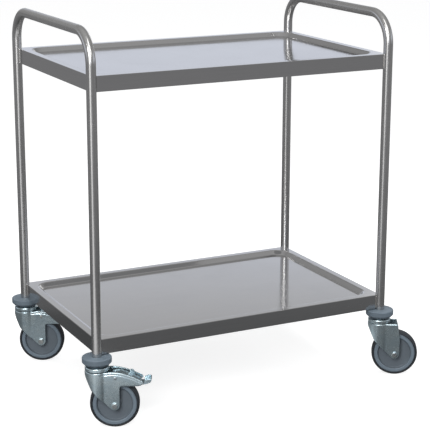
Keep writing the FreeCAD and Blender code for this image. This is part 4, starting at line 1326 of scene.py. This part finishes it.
gaps = [(0.0, 0.16), (0.36, 0.19), (0.47, 0.21), (0.52, 0.27), (0.60, 0.34), (0.70, 0.37), (0.80, 0.32), (0.88, 0.40), (1.0, 0.48)]
while len(el2) < len(gaps):
    el2.new(0.5)
for e_, (p_, g_) in zip(el2, gaps):
    e_.position = p_
    e_.color = (g_, g_, g_, 1)
wt.links.new(w_map.outputs["Result"], low_band.inputs["Fac"])
w_mix = wt.nodes.new("ShaderNodeMix")
w_mix.data_type = "RGBA"
wt.links.new(lobe.outputs["Result"], w_mix.inputs[0])
wt.links.new(low_band.outputs["Color"], w_mix.inputs[6])
wt.links.new(w_ramp.outputs["Color"], w_mix.inputs[7])
wt.links.new(w_mix.outputs[2], w_bg.inputs["Color"])
w_bg.inputs["Strength"].default_value = 1.0
wt.links.new(w_bg.outputs[0], w_out.inputs["Surface"])


def area_light(name, loc, target, size, power, size_y=None, color=(1, 1, 1), spread=None):
    d = bpy.data.lights.new(name, "AREA")
    d.energy = power
    d.color = color
    d.shape = "RECTANGLE" if size_y else "SQUARE"
    d.size = size
    if size_y:
        d.size_y = size_y
    ob = bpy.data.objects.new(name, d)
    ob.location = loc
    ob.rotation_mode = "QUATERNION"
    ob.rotation_quaternion = (Vector(target) - Vector(loc)).to_track_quat("-Z", "Y")
    bpy.context.scene.collection.objects.link(ob)
    return ob


for l_ in (area_light("key_left", (-2.6, -2.8, 2.4), (0, 0, 0.3), 1.6, 100, 2.0),
           area_light("top_soft", (0.0, 0.0, 3.8), (0, 0, 0), 3.4, 110, 3.4),
           area_light("fill_right", (3.2, -1.8, 1.8), (0, 0, 0.3), 1.6, 36, 1.8)):
    l_.visible_glossy = l_.name.startswith("key_left")


def card(name, centre, width, z0, z1, glow, soft=0.18):
    """A tall light card that only reflections see: the strip of light along the posts and the castors' round fronts."""
    cx, cy = centre
    d = Vector((-cx, -cy, 0)).normalized()
    r = Vector((-d.y, d.x, 0))
    k = 24
    vs, fs = [], []
    for i in range(k + 1):
        f = i / k - 0.5
        for z in (z0, z1):
            vs.append((cx + r.x * width * f, cy + r.y * width * f, z))
    for i in range(k):
        fs.append((2 * i, 2 * i + 2, 2 * i + 3, 2 * i + 1))
    n = Net(name + "_glow")
    n.t.nodes.remove(n.p)
    g = n.coords("Generated")
    sep = n.node("ShaderNodeSeparateXYZ")
    n.link(g, sep.inputs[0])
    a = n.ramp(sep.outputs["X"], [(0.0, 0.0), (soft * 2, 1.0), (1 - soft * 2, 1.0), (1.0, 0.0)], "EASE")
    up_ = n.ramp(sep.outputs["Z"], [(0.0, 0.8), (0.45, 1.0), (0.8, 1.5), (1.0, 1.2)])
    em = n.node("ShaderNodeEmission")
    em.inputs["Strength"].default_value = glow
    n.link(up_, em.inputs["Color"])
    clear = n.node("ShaderNodeBsdfTransparent")
    both = n.node("ShaderNodeMixShader")
    n.link(a, both.inputs[0])
    n.link(clear.outputs[0], both.inputs[1])
    n.link(em.outputs[0], both.inputs[2])
    n.link(both.outputs[0], n.t.nodes["Material Output"].inputs["Surface"])
    ob = stage_mesh(name, vs, fs, n.m)
    ob.visible_camera = ob.visible_diffuse = ob.visible_shadow = ob.visible_transmission = False
    return ob


def at(deg, dist):
    return (CX * MM + dist * math.cos(math.radians(deg)), CY * MM + dist * math.sin(math.radians(deg)))


card("card_left", at(-138.0, 3.4), 2.1, -2.2, 2.6, 1.05)
card("card_high", at(-86.0, 3.0), 1.2, 2.3, 4.6, 2.6)


def ribbon():
    """A long soft box that climbs from the front to overhead; it gives the handle bends their broad highlight."""
    keys = [(16, -114), (28, -109), (40, -104), (51, -99), (62, -92), (72, -84), (80, -73)]
    half, dist = math.radians(9.0), 3.6
    o = Vector((CX * MM - 0.3, CY * MM - 0.2, 0.95))
    P_ = [Vector((math.cos(math.radians(a)) * math.cos(math.radians(e)), math.sin(math.radians(a)) * math.cos(math.radians(e)), math.sin(math.radians(e)))) for e, a in keys]
    line = []
    for i in range(len(P_) - 1):
        for j in range(5):
            line.append(P_[i].lerp(P_[i + 1], j / 5).normalized())
    line.append(P_[-1])
    k = 10
    vs, fs, uv_ = [], [], []
    for i, d in enumerate(line):
        t = (line[min(i + 1, len(line) - 1)] - line[max(i - 1, 0)]).normalized()
        w_ = d.cross(t).normalized()
        for j in range(k + 1):
            f = j / k * 2 - 1
            vs.append(tuple(o + (d * math.cos(half * f) + w_ * math.sin(half * f)) * dist))
            uv_.append((j / k, i / (len(line) - 1)))
    for i in range(len(line) - 1):
        for j in range(k):
            a = i * (k + 1) + j
            fs.append((a, a + 1, a + k + 2, a + k + 1))
    n = Net("ribbon_glow")
    n.t.nodes.remove(n.p)
    sep = n.node("ShaderNodeSeparateXYZ")
    n.link(n.coords("UV"), sep.inputs[0])
    a = n.math("MULTIPLY", n.ramp(sep.outputs["X"], [(0.0, 0.0), (0.3, 1.0), (0.7, 1.0), (1.0, 0.0)], "EASE"),
               n.ramp(sep.outputs["Y"], [(0.0, 0.0), (0.15, 1.0), (0.88, 1.0), (1.0, 0.0)], "EASE"))
    em = n.node("ShaderNodeEmission")
    em.inputs["Color"].default_value = (1.0, 1.0, 0.985, 1)
    em.inputs["Strength"].default_value = 3.0
    clear = n.node("ShaderNodeBsdfTransparent")
    both = n.node("ShaderNodeMixShader")
    n.link(a, both.inputs[0])
    n.link(clear.outputs[0], both.inputs[1])
    n.link(em.outputs[0], both.inputs[2])
    n.link(both.outputs[0], n.t.nodes["Material Output"].inputs["Surface"])
    ob = stage_mesh("ribbon_high", vs, fs, n.m)
    layer = ob.data.uv_layers.new(name="UVMap")
    for lp in ob.data.loops:
        layer.data[lp.index].uv = uv_[lp.vertex_index]
    ob.visible_camera = ob.visible_diffuse = ob.visible_shadow = ob.visible_transmission = False


ribbon()
card("card_back_right", at(41.0, 3.6), 1.3, -2.0, 2.6, 0.8)

cam_d = bpy.data.cameras.new("camera")
cam = bpy.data.objects.new("camera", cam_d)
bpy.context.scene.collection.objects.link(cam)
cam_d.sensor_width = 36.0
cam_d.lens = 1423.7 / 430.0 * 36.0
cam_d.clip_start, cam_d.clip_end = 0.05, 200.0
cam.location = (CX * MM - 1.6539, CY * MM - 3.3733, 1.4269)
yaw, pitch, roll = 0.4665, 0.2578, 0.0021
fwd = Vector((math.sin(yaw) * math.cos(pitch), math.cos(yaw) * math.cos(pitch), -math.sin(pitch)))
right = Vector((math.cos(yaw), -math.sin(yaw), 0))
up = right.cross(fwd)
r2 = right * math.cos(roll) + up * math.sin(roll)
u2 = -right * math.sin(roll) + up * math.cos(roll)
rot = Matrix((r2, u2, -fwd)).transposed()
cam.rotation_mode = "QUATERNION"
cam.rotation_quaternion = rot.to_quaternion()
bpy.context.scene.camera = cam
bpy.context.scene.view_settings.view_transform = "Standard"
bpy.context.scene.view_settings.look = "None"

bpy.context.view_layer.update()
